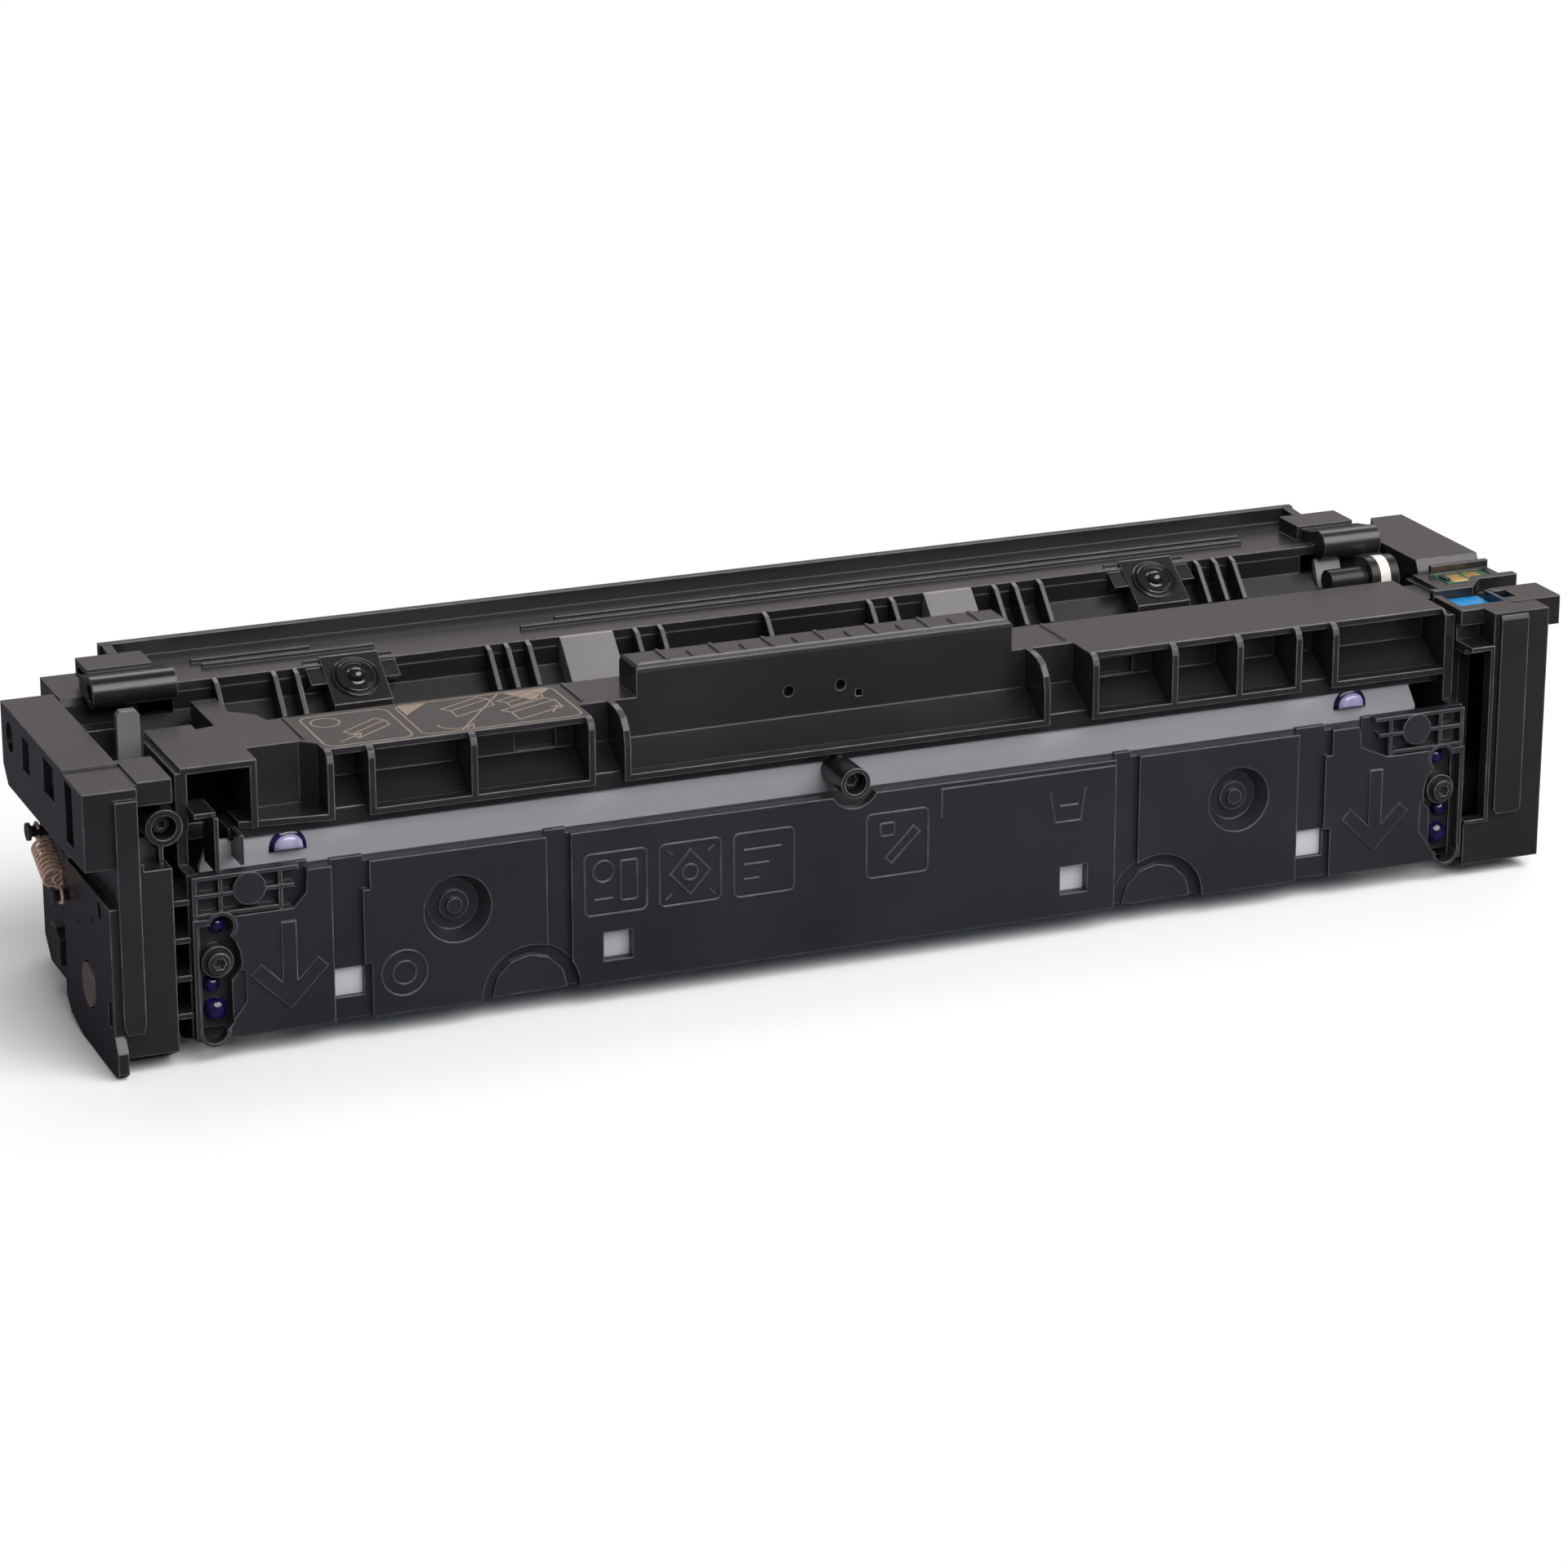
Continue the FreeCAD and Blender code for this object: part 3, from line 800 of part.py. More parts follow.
pad(cover, "YZ", "right_out + 4", "right_out + 4.6", disc("hook_y + 6", "hook_z + 1", "post_radius + 0.7"))

# ---- pale ring on the stub shaft
stub = new_body("stub_bushing")
pad(stub, "YZ", "144.7", "147.2", disc("stub_y", "stub_z", "stub_ring"), disc("stub_y", "stub_z", "stub_radius + 0.01"))

# ---- upright tab on the left developer cover
tab = new_body("contact_tab")
pad(tab, "XZ", "44.4", "46.4",
    [("-146.2", "50"), ("-146.2", "60.4"), ("-145.4", "61.4"), ("-142.2", "61.4"), ("-141.4", "60.4"), ("-141.4", "50")])

# ---- doctor blade, rollers, agitator and their gears
doctor = new_body("doctor_blade")
pad(doctor, "YZ", "-roller_half", "roller_half",
    [("38.22", "36"), ("39.4", "36"), ("39.4", "26"), ("38.1", "23.6"), ("37.3", "23.95"), ("38.22", "26.4")])
roller = new_body("developer_roller")
pad(roller, "YZ", "-roller_half", "roller_half", disc("roller_y", "roller_z", "roller_radius"))
pad(roller, "YZ", "-hopper_half", "-roller_half", disc("roller_y", "roller_z", "roller_shaft"))
pad(roller, "YZ", "roller_half", "gear_in + 5.6", disc("roller_y", "roller_z", "roller_shaft"))
supply = new_body("supply_roller")
pad(supply, "YZ", "-roller_half", "roller_half", disc("supply_y", "supply_z", "supply_radius"))
pad(supply, "YZ", "-hopper_half", "-roller_half", disc("supply_y", "supply_z", "supply_shaft"))
pad(supply, "YZ", "roller_half", "gear_in + 5.6", disc("supply_y", "supply_z", "supply_shaft"))
stirrer = new_body("agitator")
pad(stirrer, "YZ", "-hopper_half", "gear_in + 5.6", disc(STIR_Y, STIR_Z, "stir_shaft"))
pad(stirrer, "YZ", "-hopper_half + 6", "hopper_half - 6",
    rect(STIR_Y, f"{STIR_Z} - 0.3", f"{STIR_Y} + stir_reach", f"{STIR_Z} + 0.3"))
# spur gears: the drive gear with its coupling turns the other three
angles = {}
lead = math.degrees(math.atan2(number("roller_z") - number(DRIVE_Z), number("roller_y") - number(DRIVE_Y)))
for name, y, z in (("roller", "roller_y", "roller_z"), ("supply", "supply_y", "supply_z"), ("stir", STIR_Y, STIR_Z)):
    toward = math.degrees(math.atan2(number(z) - number(DRIVE_Z), number(y) - number(DRIVE_Y)))
    past = (toward - lead) % (360 / TEETH["drive"])
    angles[name] = toward + 180 + 180 / TEETH[name] + past * TEETH["drive"] / TEETH[name]
for label, y, z, shaft_radius in (("roller_gear", "roller_y", "roller_z", "roller_shaft"),
                                  ("supply_gear", "supply_y", "supply_z", "supply_shaft"),
                                  ("stir_gear", STIR_Y, STIR_Z, "stir_shaft")):
    name = label.split("_")[0]
    start, end = ("gear_in", "gear_in + 2.6") if name != "supply" else ("gear_in + 2.9", "gear_in + 5.5")
    wheel = new_body(label)
    gear(wheel, start, end, y, z, TEETH[name], angles[name])
    cut(wheel, "YZ", start, end, disc(y, z, f"{shaft_radius} + 0.01"))
drive = new_body("drive_gear")
gear(drive, "gear_in", "gear_in + 5.5", DRIVE_Y, DRIVE_Z, TEETH["drive"], lead)
pad(drive, "YZ", "hopper_half - 2.6", "gear_in", disc(DRIVE_Y, DRIVE_Z, "drive_journal"))
pad(drive, "YZ", "gear_in + 5.5", "cover_out + 2.4", disc(DRIVE_Y, DRIVE_Z, "coupling_radius"))
cut(drive, "YZ", "cover_out - 1", "cover_out + 2.4",
    [(f"{DRIVE_Y} + {u}", f"{DRIVE_Z} + {v}") for u, v in (
        ("3.4", "0"), ("0.8", "1.4"), ("-1.7", "2.9"), ("-1.6", "0"), ("-1.7", "-2.9"), ("0.8", "-1.4"))])

# ---- tension springs: each a coil with an eye round its post at both ends
for label, x, y0, z0, y1, z1 in (
        ("tension_spring_left", "-spring_x", "post_y", "post_z", "hook_y", "hook_z"),
        ("tension_spring_right", "right_out + 2.9", "right_post_y", "right_post_z", "hook_y + 6", "hook_z + 1")):
    spring = new_body(label)
    long = f"sqrt(({y1} - {y0})^2 + ({z1} - {z0})^2)"
    tilt = math.degrees(math.atan2(number(z1) - number(z0), number(y1) - number(y0)))
    # drawn level, with the first post at the origin, then turned about that post
    for middle in ("0", long):
        pad(spring, "XY", "-wire", "wire", disc(middle, "0", "post_radius + 2 * wire + 0.03"),
            disc(middle, "0", "post_radius + 0.03"))
    for start, end in (("post_radius + wire", "post_radius + 3.1"),
                       (f"{long} - post_radius - 3.1", f"{long} - post_radius - wire")):
        pad(spring, "YZ", start, end, disc("0", "0", "wire - 0.06"))
    pad(spring, "YZ", "post_radius + 3", f"{long} - post_radius - 3", disc("0", "0", "spring_radius"))
    cut(spring, "YZ", "post_radius + 3.8", f"{long} - post_radius - 3.8", disc("0", "0", "spring_radius - 2 * wire"))
    turn = FreeCAD.Rotation(FreeCAD.Vector(1, 0, 0), tilt)
    spring.Placement.Rotation = turn * FreeCAD.Rotation(FreeCAD.Vector(1, 1, 1), 120)
    spring.setExpression("Placement.Base.x", bound(f"{MOVE_X} + {x}"))
    spring.setExpression("Placement.Base.y", bound(f"{MOVE_Y} + {y0}"))
    spring.setExpression("Placement.Base.z", bound(z0))

# ---- memory chip and cyan key in the right cover
chip = new_body("memory_chip")
pad(chip, "XY", "57", "58.3", rect("156", "30", "168.2", "37"))
key = new_body("colour_key")
pad(key, "XY", "54", "58.2", rect("right_in + 1.7", "8.2", "157.3", "19.8"))
pad(key, "XY", "57.6", "58.9", rect("158.4", "9.8", "161.2", "14.6"))

# ---- translucent sealing blobs, domed, and the half-round ones on the metal strip
for label, side in (("end_seals_left", "-1"), ("end_seals_right", "1")):
    blobs = new_body(label)
    wall_y = BACK + " + 1"
    for x, z, radius in (("138.6", "28.5", "1.9"), ("140", "16", "1.8"), ("139.4", "10.6", "2.5")):
        spin(blobs, "XY", z, f"{side} * {x}",
             [("0", wall_y), (radius, wall_y), (f"{radius} * 0.9", f"{wall_y} - {radius} * 0.5"),
              (f"{radius} * 0.5", f"{wall_y} - {radius} * 0.87"), ("0", f"{wall_y} - {radius}")])
    pad(blobs, "XZ", "strip_y - 1.8", "strip_y",
        [(f"{side} * 121 + {u}", v) for u, v in (
            ("-3.2", "39.6"), ("3.2", "39.6"), ("3.2", "40.8"), ("2.5", "42.4"), ("0.9", "43.1"), ("-0.9", "43.1"),
            ("-2.5", "42.4"), ("-3.2", "40.8"))])

# ---- screws: washer face, head with a hexalobular recess drawn as a hexagon
screws = new_body("screws")
for x, z, start in (("boss_x", "boss_z", "0.6"), ("-side_screw_x", "side_screw_z", "0.2"),
                    ("side_screw_x", "side_screw_z", "0.2")):
    if start == "0.6":
        pad(screws, "XZ", "2.2", "4", disc(x, z, "boss_radius - 0.95"))
        pad(screws, "XZ", "4", "strip_y + sheet - 0.1", disc(x, z, "1.36"))
        cut(screws, "XZ", "2.2", "3.4", [(f"{x} + {u}", f"{z} + {v}") for u, v in (
            ("1.1", "0"), ("0.55", "0.95"), ("-0.55", "0.95"), ("-1.1", "0"), ("-0.55", "-0.95"), ("0.55", "-0.95"))])
    else:
        pad(screws, "XZ", "-0.6", "1", disc(x, z, "2.4"))
        pad(screws, "XZ", "1", "3.2", disc(x, z, "1.36"))
        cut(screws, "XZ", "-0.6", "0.4", [(f"{x} + {u}", f"{z} + {v}") for u, v in (
            ("1.1", "0"), ("0.55", "0.95"), ("-0.55", "0.95"), ("-1.1", "0"), ("-0.55", "-0.95"), ("0.55", "-0.95"))])

for piece in PIECES:
    piece.Tip.Refine = True
doc.recompute()

for item in doc.Objects:
    if "Invalid" in item.State or "Error" in item.State:
        raise RuntimeError(f"{item.Label} did not compute")
for piece in PIECES:
    if piece.Shape.isNull() or not piece.Shape.isValid() or not piece.Shape.Solids:
        raise RuntimeError(f"{piece.Label} has no valid solid")
os.makedirs("parts", exist_ok=True)
for piece in PIECES:
    piece.Shape.exportStep(f"parts/{piece.Label}.step")
    print(piece.Label, len(piece.Shape.Solids), len(piece.Shape.Faces), round(piece.Shape.Volume / 1000, 2))
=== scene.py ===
import json
import math
import bpy
import numpy as np
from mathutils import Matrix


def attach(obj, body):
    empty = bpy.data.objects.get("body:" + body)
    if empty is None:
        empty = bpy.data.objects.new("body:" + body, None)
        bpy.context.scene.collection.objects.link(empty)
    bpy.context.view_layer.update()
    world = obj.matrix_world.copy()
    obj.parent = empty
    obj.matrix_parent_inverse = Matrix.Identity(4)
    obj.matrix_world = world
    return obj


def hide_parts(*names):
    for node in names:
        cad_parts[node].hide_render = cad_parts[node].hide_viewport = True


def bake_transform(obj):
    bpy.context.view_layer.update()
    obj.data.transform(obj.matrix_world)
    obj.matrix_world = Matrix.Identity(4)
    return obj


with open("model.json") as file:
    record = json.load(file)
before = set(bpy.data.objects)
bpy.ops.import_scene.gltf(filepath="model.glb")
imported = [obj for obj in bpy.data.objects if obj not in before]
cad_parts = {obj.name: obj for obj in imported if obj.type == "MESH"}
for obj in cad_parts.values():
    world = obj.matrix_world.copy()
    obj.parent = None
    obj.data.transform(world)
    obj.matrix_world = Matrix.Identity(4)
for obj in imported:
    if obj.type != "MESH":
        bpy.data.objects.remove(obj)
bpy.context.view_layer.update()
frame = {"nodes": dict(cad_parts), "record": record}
nodes = frame["nodes"]
scene = bpy.context.scene
originShift = np.array([-2.5, -38.0, 0.0])  # from the panel's face and middle to the row's origin, mm
print("frame loaded:", len(nodes), "CAD nodes")


# materials

# an edge gets a painted highlight, which also stands for rubbing, where the rounded normal leaves the true one
# and nothing stands close before it
edgeLook = {"turned": (0.006, 0.1), "free": (0.78, 0.97), "near": 3.0}  # near: distance in edge radii


class Wire:
    # one output of a node tree; arithmetic on it adds Math nodes
    def __init__(self, surface, socket):
        self.surface, self.socket = surface, socket

    def math(self, operation, *values):
        return self.surface.node("ShaderNodeMath", *values, operation=operation)

    def __add__(self, other):
        return self.math("ADD", self, other)

    def __radd__(self, other):
        return self.math("ADD", other, self)

    def __sub__(self, other):
        return self.math("SUBTRACT", self, other)

    def __rsub__(self, other):
        return self.math("SUBTRACT", other, self)

    def __mul__(self, other):
        return self.math("MULTIPLY", self, other)

    def __rmul__(self, other):
        return self.math("MULTIPLY", other, self)

    def clip(self, low, high):
        # 0 below low, 1 above high, straight between
        return self.surface.node("ShaderNodeMapRange", self, low, high, 0.0, 1.0)


class Surface:
    def __init__(self, name, constants=None):
        self.material = bpy.data.materials.new(name)
        self.material.use_nodes = True
        self.tree = self.material.node_tree
        self.shader = self.tree.nodes["Principled BSDF"]
        for socket, value in (constants or {}).items():
            self.shader.inputs[socket].default_value = value
        self.place = self.node("ShaderNodeTexCoord", output="Object")

    def node(self, kind, *values, output=0, named=None, **settings):
        made = self.tree.nodes.new(kind)
        for setting, value in settings.items():
            setattr(made, setting, value)
        for key, value in list(enumerate(values)) + list((named or {}).items()):
            if isinstance(value, Wire):
                self.tree.links.new(value.socket, made.inputs[key])
            else:
                made.inputs[key].default_value = value
        return Wire(self, made.outputs[output])

    def noise(self, scale, detail=2.0, stretch=None):
        place = self.place
        if stretch:
            place = self.node("ShaderNodeVectorMath", place, stretch, operation="MULTIPLY")
        return self.node("ShaderNodeTexNoise", named={"Vector": place, "Scale": scale, "Detail": detail})

    def colour(self, factor, first, second):
        named = {0: factor, 6: first, 7: second}
        return self.node("ShaderNodeMix", output=2, named=named, data_type="RGBA")

    def edges(self, radius):
        # normals rounded over the edges, and 0 to 1 where they leave the true ones on an outer edge
        rounded = self.node("ShaderNodeBevel", radius, samples=4)
        true = self.node("ShaderNodeNewGeometry", output="Normal")
        match = self.node("ShaderNodeVectorMath", rounded, true, output=1, operation="DOT_PRODUCT")
        clear = self.node("ShaderNodeAmbientOcclusion", output="AO", samples=3, only_local=True,
                          named={"Distance": radius * edgeLook["near"]})
        return rounded, (1.0 - match).clip(*edgeLook["turned"]) * clear.clip(*edgeLook["free"])

    def bump(self, height, distance, strength=1.0, normal=None):
        named = {"Height": height, "Distance": distance, "Strength": strength}
        if normal:
            named["Normal"] = normal
        return self.node("ShaderNodeBump", named=named)

    def feed(self, **wires):
        for key, wire in wires.items():
            socket = self.shader.inputs[key.replace("_", " ")]
            self.tree.links.new(wire.socket, socket)
        return self.material


plasticLooks = {
    # dark and light colour, roughness, grain depth in metres, edge radius in metres, specular level, and on
    # some how much paler the edges are painted, as highlight and rubbing
    "black_moulding": dict(dark=(0.0105, 0.0098, 0.0108, 1), light=(0.0165, 0.0152, 0.0162, 1), rough=0.25,
                           grain=1.0e-5, edge=4.5e-4, specular=0.45, sheenAndWearLift=0.2),
    "black_panel": dict(dark=(0.0112, 0.0108, 0.0135, 1), light=(0.0175, 0.0168, 0.021, 1), rough=0.3,
                        grain=1.4e-5, edge=4.5e-4, specular=0.42, sheenAndWearLift=0.17),
    "lid_plastic": dict(dark=(0.0105, 0.0098, 0.0102, 1), light=(0.017, 0.0158, 0.016, 1), rough=0.26,
                        grain=0.8e-5, edge=4.5e-4, specular=0.5, sheenAndWearLift=0.18),
    "hopper_black": dict(dark=(0.0095, 0.009, 0.0098, 1), light=(0.0145, 0.0138, 0.0145, 1), rough=0.32,
                         grain=1.2e-5, edge=4.5e-4, specular=0.26, sheenAndWearLift=0.09),
    "gloss_black": dict(dark=(0.008, 0.008, 0.009, 1), light=(0.013, 0.013, 0.014, 1), rough=0.14,
                        grain=0.2e-5, edge=2e-4, specular=0.7, sheenAndWearLift=0.0),
    "gear_white": dict(dark=(0.5, 0.5, 0.47, 1), light=(0.66, 0.65, 0.62, 1), rough=0.42,
                       grain=1e-5, edge=3e-4, specular=0.5),
    "grey_gloss": dict(dark=(0.12, 0.116, 0.124, 1), light=(0.19, 0.184, 0.195, 1), rough=0.3,
                       grain=0.4e-5, edge=4e-4, specular=0.35),
    "cyan_plastic": dict(dark=(0.0, 0.2, 0.5, 1), light=(0.006, 0.31, 0.64, 1), rough=0.34,
                         grain=1e-5, edge=4e-4, specular=0.5),
    "pale_sheet": dict(dark=(0.34, 0.336, 0.366, 1), light=(0.42, 0.415, 0.446, 1), rough=0.55,
                       grain=1.5e-5, edge=2e-4, specular=0.3),
    "rubber_black": dict(dark=(0.008, 0.008, 0.008, 1), light=(0.017, 0.017, 0.018, 1), rough=0.6,
                         grain=2e-5, edge=3e-4, specular=0.35),
    "blade_rubber": dict(dark=(0.15, 0.07, 0.025, 1), light=(0.24, 0.12, 0.05, 1), rough=0.45,
                         grain=1e-5, edge=2e-4, specular=0.45),
    "foam": dict(dark=(0.015, 0.015, 0.016, 1), light=(0.045, 0.045, 0.046, 1), rough=0.9,
                 grain=3.5e-4, edge=3e-4, specular=0.2),
    "drum_coating": dict(dark=(0.004, 0.055, 0.075, 1), light=(0.006, 0.075, 0.1, 1), rough=0.14,
                         grain=1e-6, edge=3e-4, specular=0.6),
}


# noise scales per metre, the ranges that are used of them, and their shares in roughness and height, with the
# patches, gain, lift and least strength of the painted edge highlight, which also stands for rubbing
mouldLook = {
    "grain": 5200.0, "cloud": 24.0, "drag": (60.0, 900.0, 900.0), "sheenAndWearPatches": 160.0,
    "cloudRange": (0.3, 0.7), "sheenAndWearPatchRange": (0.46, 0.72),
    "roughness": {"cloud": 0.1, "drag": 0.06, "edge": 0.1}, "height": {"grain": 0.93, "drag": 0.07},
    "sheenAndWearGain": 1.5, "sheenAndWearLift": 0.03, "leastSheenAndWear": 0.45,
}


def plastic(name, look):
    surface = Surface(name, {"Specular IOR Level": look["specular"]})
    # two tones in slow clouds with fine grain; the edges are smoother, and paler by a painted highlight that
    # also stands for rubbing
    grain = surface.noise(mouldLook["grain"], 3.0)
    cloud = surface.noise(mouldLook["cloud"], 3.0)
    drag = surface.noise(1.0, 3.0, mouldLook["drag"])
    # patches in the painted edge highlight, which also stand for rubbing
    sheenAndWearPatches = surface.noise(mouldLook["sheenAndWearPatches"], 4.0).clip(*mouldLook["sheenAndWearPatchRange"])
    rounded, edge = surface.edges(look["edge"])
    tone = surface.colour(cloud.clip(*mouldLook["cloudRange"]), look["dark"], look["light"])
    sheenAndWearLift = look.get("sheenAndWearLift", mouldLook["sheenAndWearLift"])  # how much paler the edges are painted: highlight that also stands for rubbing
    sheenAndWearTone = tuple(min(1.0, c * mouldLook["sheenAndWearGain"] + sheenAndWearLift) for c in look["light"][:3]) + (1.0,)
    spread, share = mouldLook["roughness"], mouldLook["height"]
    rough = look["rough"] + (cloud - 0.5) * spread["cloud"] + (drag - 0.5) * spread["drag"]
    rough = rough - edge * spread["edge"]
    height = grain * share["grain"] + drag * share["drag"]
    # strength of the painted edge highlight, at least the given share, more in the patches
    sheenAndWearStrength = mouldLook["leastSheenAndWear"] + sheenAndWearPatches * (1 - mouldLook["leastSheenAndWear"])
    return surface.feed(
        # painted highlight: the outer edges mix towards a paler tone, in patches that also stand for rubbing
        Base_Color=surface.colour(edge * sheenAndWearStrength, tone, sheenAndWearTone),
        Roughness=rough,
        Normal=surface.bump(height, look["grain"], normal=rounded))


metalLooks = {
    "strip_metal": dict(dark=(0.29, 0.285, 0.31, 1), light=(0.38, 0.372, 0.402, 1), rough=0.42, metallic=0.1,
                        brushed=(25.0, 2500.0, 2500.0), depth=6e-6),
    "steel": dict(dark=(0.36, 0.36, 0.37, 1), light=(0.5, 0.5, 0.51, 1), rough=0.28, metallic=1.0,
                  brushed=(60.0, 3000.0, 3000.0), depth=3e-6),
    "copper_steel": dict(dark=(0.13, 0.1, 0.087, 1), light=(0.24, 0.192, 0.168, 1), rough=0.34, metallic=0.4,
                         brushed=(900.0, 900.0, 900.0), depth=5e-6),
    "spring_wire": dict(dark=(0.52, 0.34, 0.25, 1), light=(0.86, 0.64, 0.51, 1), rough=0.24, metallic=0.3,
                        brushed=(900.0, 900.0, 900.0), depth=3e-6),
}


wearLook = {"patches": 45.0, "edge": 2.5e-4, "tarnish": 0.1, "roughness": {"lines": 0.25, "patches": 0.1}}


def metal(name, look):
    # brushed lines and patches in both colour and roughness
    surface = Surface(name)
    lines = surface.noise(1.0, 4.0, look["brushed"])
    patches = surface.noise(wearLook["patches"], 3.0)
    rounded = surface.edges(wearLook["edge"])[0]
    tone = surface.colour(lines * 0.5 + patches * 0.5, look["dark"], look["light"])
    spread = wearLook["roughness"]
    return surface.feed(
        Base_Color=tone,
        Metallic=patches * wearLook["tarnish"] + (look["metallic"] - wearLook["tarnish"] / 2),
        Roughness=look["rough"] + (lines - 0.5) * spread["lines"] + (patches - 0.5) * spread["patches"],
        Normal=surface.bump(lines, look["depth"], normal=rounded))


sealLooks = {
    "seal": dict(deep=(0.003, 0.002, 0.02, 1), thin=(0.012, 0.009, 0.085, 1), transmission=0.3),
    "seal_pale": dict(deep=(0.26, 0.235, 0.4, 1), thin=(0.38, 0.355, 0.52, 1), transmission=0.1),
}
resinLook = {"cloud": 420.0, "ripple": 900.0, "depth": 4e-5, "range": (0.35, 0.65), "rough": 0.06, "haze": 0.08}


def sealant(name, look):
    # blue-violet sealing resin with slow clouds of deeper and thinner colour
    surface = Surface(name, {"Transmission Weight": look["transmission"], "IOR": 1.48,
                             "Specular IOR Level": 0.8})
    cloud = surface.noise(resinLook["cloud"], 3.0)
    tone = surface.colour(cloud.clip(*resinLook["range"]), look["thin"], look["deep"])
    return surface.feed(
        Base_Color=tone,
        Roughness=resinLook["rough"] + cloud * resinLook["haze"],
        Normal=surface.bump(surface.noise(resinLook["ripple"]), resinLook["depth"]))


boardLook = {"mask": (0.004, 0.06, 0.022, 1), "tracks": (0.012, 0.13, 0.05, 1), "spacing": 330.0, "wander": 6.0,
             "lines": (0.62, 0.7), "depth": 1.5e-5, "lacquer": 700.0, "rough": 0.3, "haze": 0.15, "coat": 0.4}


def circuit(name, look):
    # lacquered board with faint tracks under the mask
    surface = Surface(name, {"Coat Roughness": 0.08})
    wave = surface.node("ShaderNodeTexWave", output="Fac", named={
        "Vector": surface.place, "Scale": look["spacing"], "Distortion": look["wander"], "Detail": 1.0})
    line = wave.clip(*look["lines"])
    return surface.feed(
        Base_Color=surface.colour(line, look["mask"], look["tracks"]),
        Roughness=look["rough"] + surface.noise(look["lacquer"]) * look["haze"],
        Coat_Weight=look["coat"] + line * 0.2,
        Normal=surface.bump(line, look["depth"]))


goldLook = {"dull": (0.62, 0.4, 0.1, 1), "bright": (0.85, 0.6, 0.22, 1), "rubs": (400.0, 5000.0, 2000.0),
            "metallic": 0.94, "rough": 0.2}


def plating(name, look):
    # gold contacts with fine rub marks
    surface = Surface(name)
    lines = surface.noise(1.0, 3.0, look["rubs"])
    return surface.feed(
        Base_Color=surface.colour(lines, look["dull"], look["bright"]),
        Metallic=look["metallic"] + lines * (1 - look["metallic"]),
        Roughness=look["rough"] + lines * 0.2)


inkLook = {"dark": (0.18, 0.13, 0.093, 1), "light": (0.285, 0.215, 0.162, 1), "thin": 2600.0, "cloud": 70.0,
           "range": (0.3, 0.7), "metallic": 0.12, "rough": 0.42, "haze": 0.15, "depth": 8e-6}


def ink(name, look):
    # bronze printing, thin in places
    surface = Surface(name, {"Specular IOR Level": 0.45})
    thin = surface.noise(look["thin"], 3.0)
    cloud = surface.noise(look["cloud"], 2.0)
    tone = surface.colour((thin * 0.5 + cloud * 0.5).clip(*look["range"]), look["dark"], look["light"])
    return surface.feed(
        Base_Color=tone,
        Metallic=look["metallic"] + cloud * look["metallic"],
        Roughness=look["rough"] + thin * look["haze"],
        Normal=surface.bump(thin, look["depth"]))


finishes = {slot: plastic(slot, look) for slot, look in plasticLooks.items()}
finishes.update({slot: metal(slot, look) for slot, look in metalLooks.items()})
finishes.update({name: sealant(name, look) for name, look in sealLooks.items()})
finishes["circuit_green"] = circuit("circuit_green", boardLook)
finishes["contact_gold"] = plating("contact_gold", goldLook)
finishes["bronze_ink"] = ink("bronze_ink", inkLook)

ownFinish = {"toner_hopper": "hopper_black"}  # nodes that look unlike the rest of their slot
for part in frame["record"]["subparts"]:
    mesh = nodes[part["node"]].data
    mesh.materials.clear()
    mesh.materials.append(finishes[ownFinish.get(part["node"], part["material_slot"])])
print("materials made:", len(finishes))


# shapes, in the CAD's millimetres: X from the middle, Y from the panel's face, Z from the floor

def ringFaces(rows, columns, closed=True):
    # quads between neighbouring rows of a grid whose rows are closed rings
    index = np.arange(rows * columns).reshape(rows, columns)
    if closed:
        index = np.hstack([index, index[:, :1]])
    a, b = index[:-1, :-1].ravel(), index[:-1, 1:].ravel()
    c, d = index[1:, 1:].ravel(), index[1:, :-1].ravel()
    return np.stack([a, b, c, d], axis=1).tolist()


def tube(path, radius, across, sides=10):
    # rings square to the path, laid out from the part of a fixed direction that is square to it
    path = np.asarray(path, float)
    along = np.gradient(path, axis=0)
    along /= np.linalg.norm(along, axis=1)[:, None]
    side = np.cross(along, np.asarray(across, float))
    side /= np.linalg.norm(side, axis=1)[:, None]
    other = np.cross(along, side)
    turn = np.linspace(0, 2 * math.pi, sides, endpoint=False)[None, :, None]
    rings = path[:, None, :] + radius * (np.cos(turn) * side[:, None, :] + np.sin(turn) * other[:, None, :])
    faces = ringFaces(len(path), sides)
    faces += [list(range(sides))[::-1], [len(path) * sides - sides + i for i in range(sides)]]
    return rings.reshape(-1, 3), faces


def lathe(profile, centre, axis, sides=40, lobes=0, depth=0.0, lobed=()):
    # the (radius, height) profile turned about the axis; the radius of the rows named in lobed is multiplied
    # by 1 + depth * cos(lobes * angle)
    axis = np.asarray(axis, float) / np.linalg.norm(axis)
    side = np.cross(axis, [0.0, 0.0, 1.0] if abs(axis[2]) < 0.9 else [1.0, 0.0, 0.0])
    side /= np.linalg.norm(side)
    other = np.cross(axis, side)
    turn = np.linspace(0, 2 * math.pi, sides, endpoint=False)
    radius, height = np.array(profile, float).T
    wavy = np.isin(np.arange(len(radius)), lobed)
    reach = radius[:, None] * (1 + depth * np.outer(wavy, np.cos(lobes * turn)))
    rings = (np.asarray(centre) + height[:, None, None] * axis + (reach * np.cos(turn))[:, :, None] * side
             + (reach * np.sin(turn))[:, :, None] * other)
    faces = ringFaces(len(radius), sides)
    faces += [list(range(sides))[::-1], [len(radius) * sides - sides + i for i in range(sides)]]
    return rings.reshape(-1, 3), faces


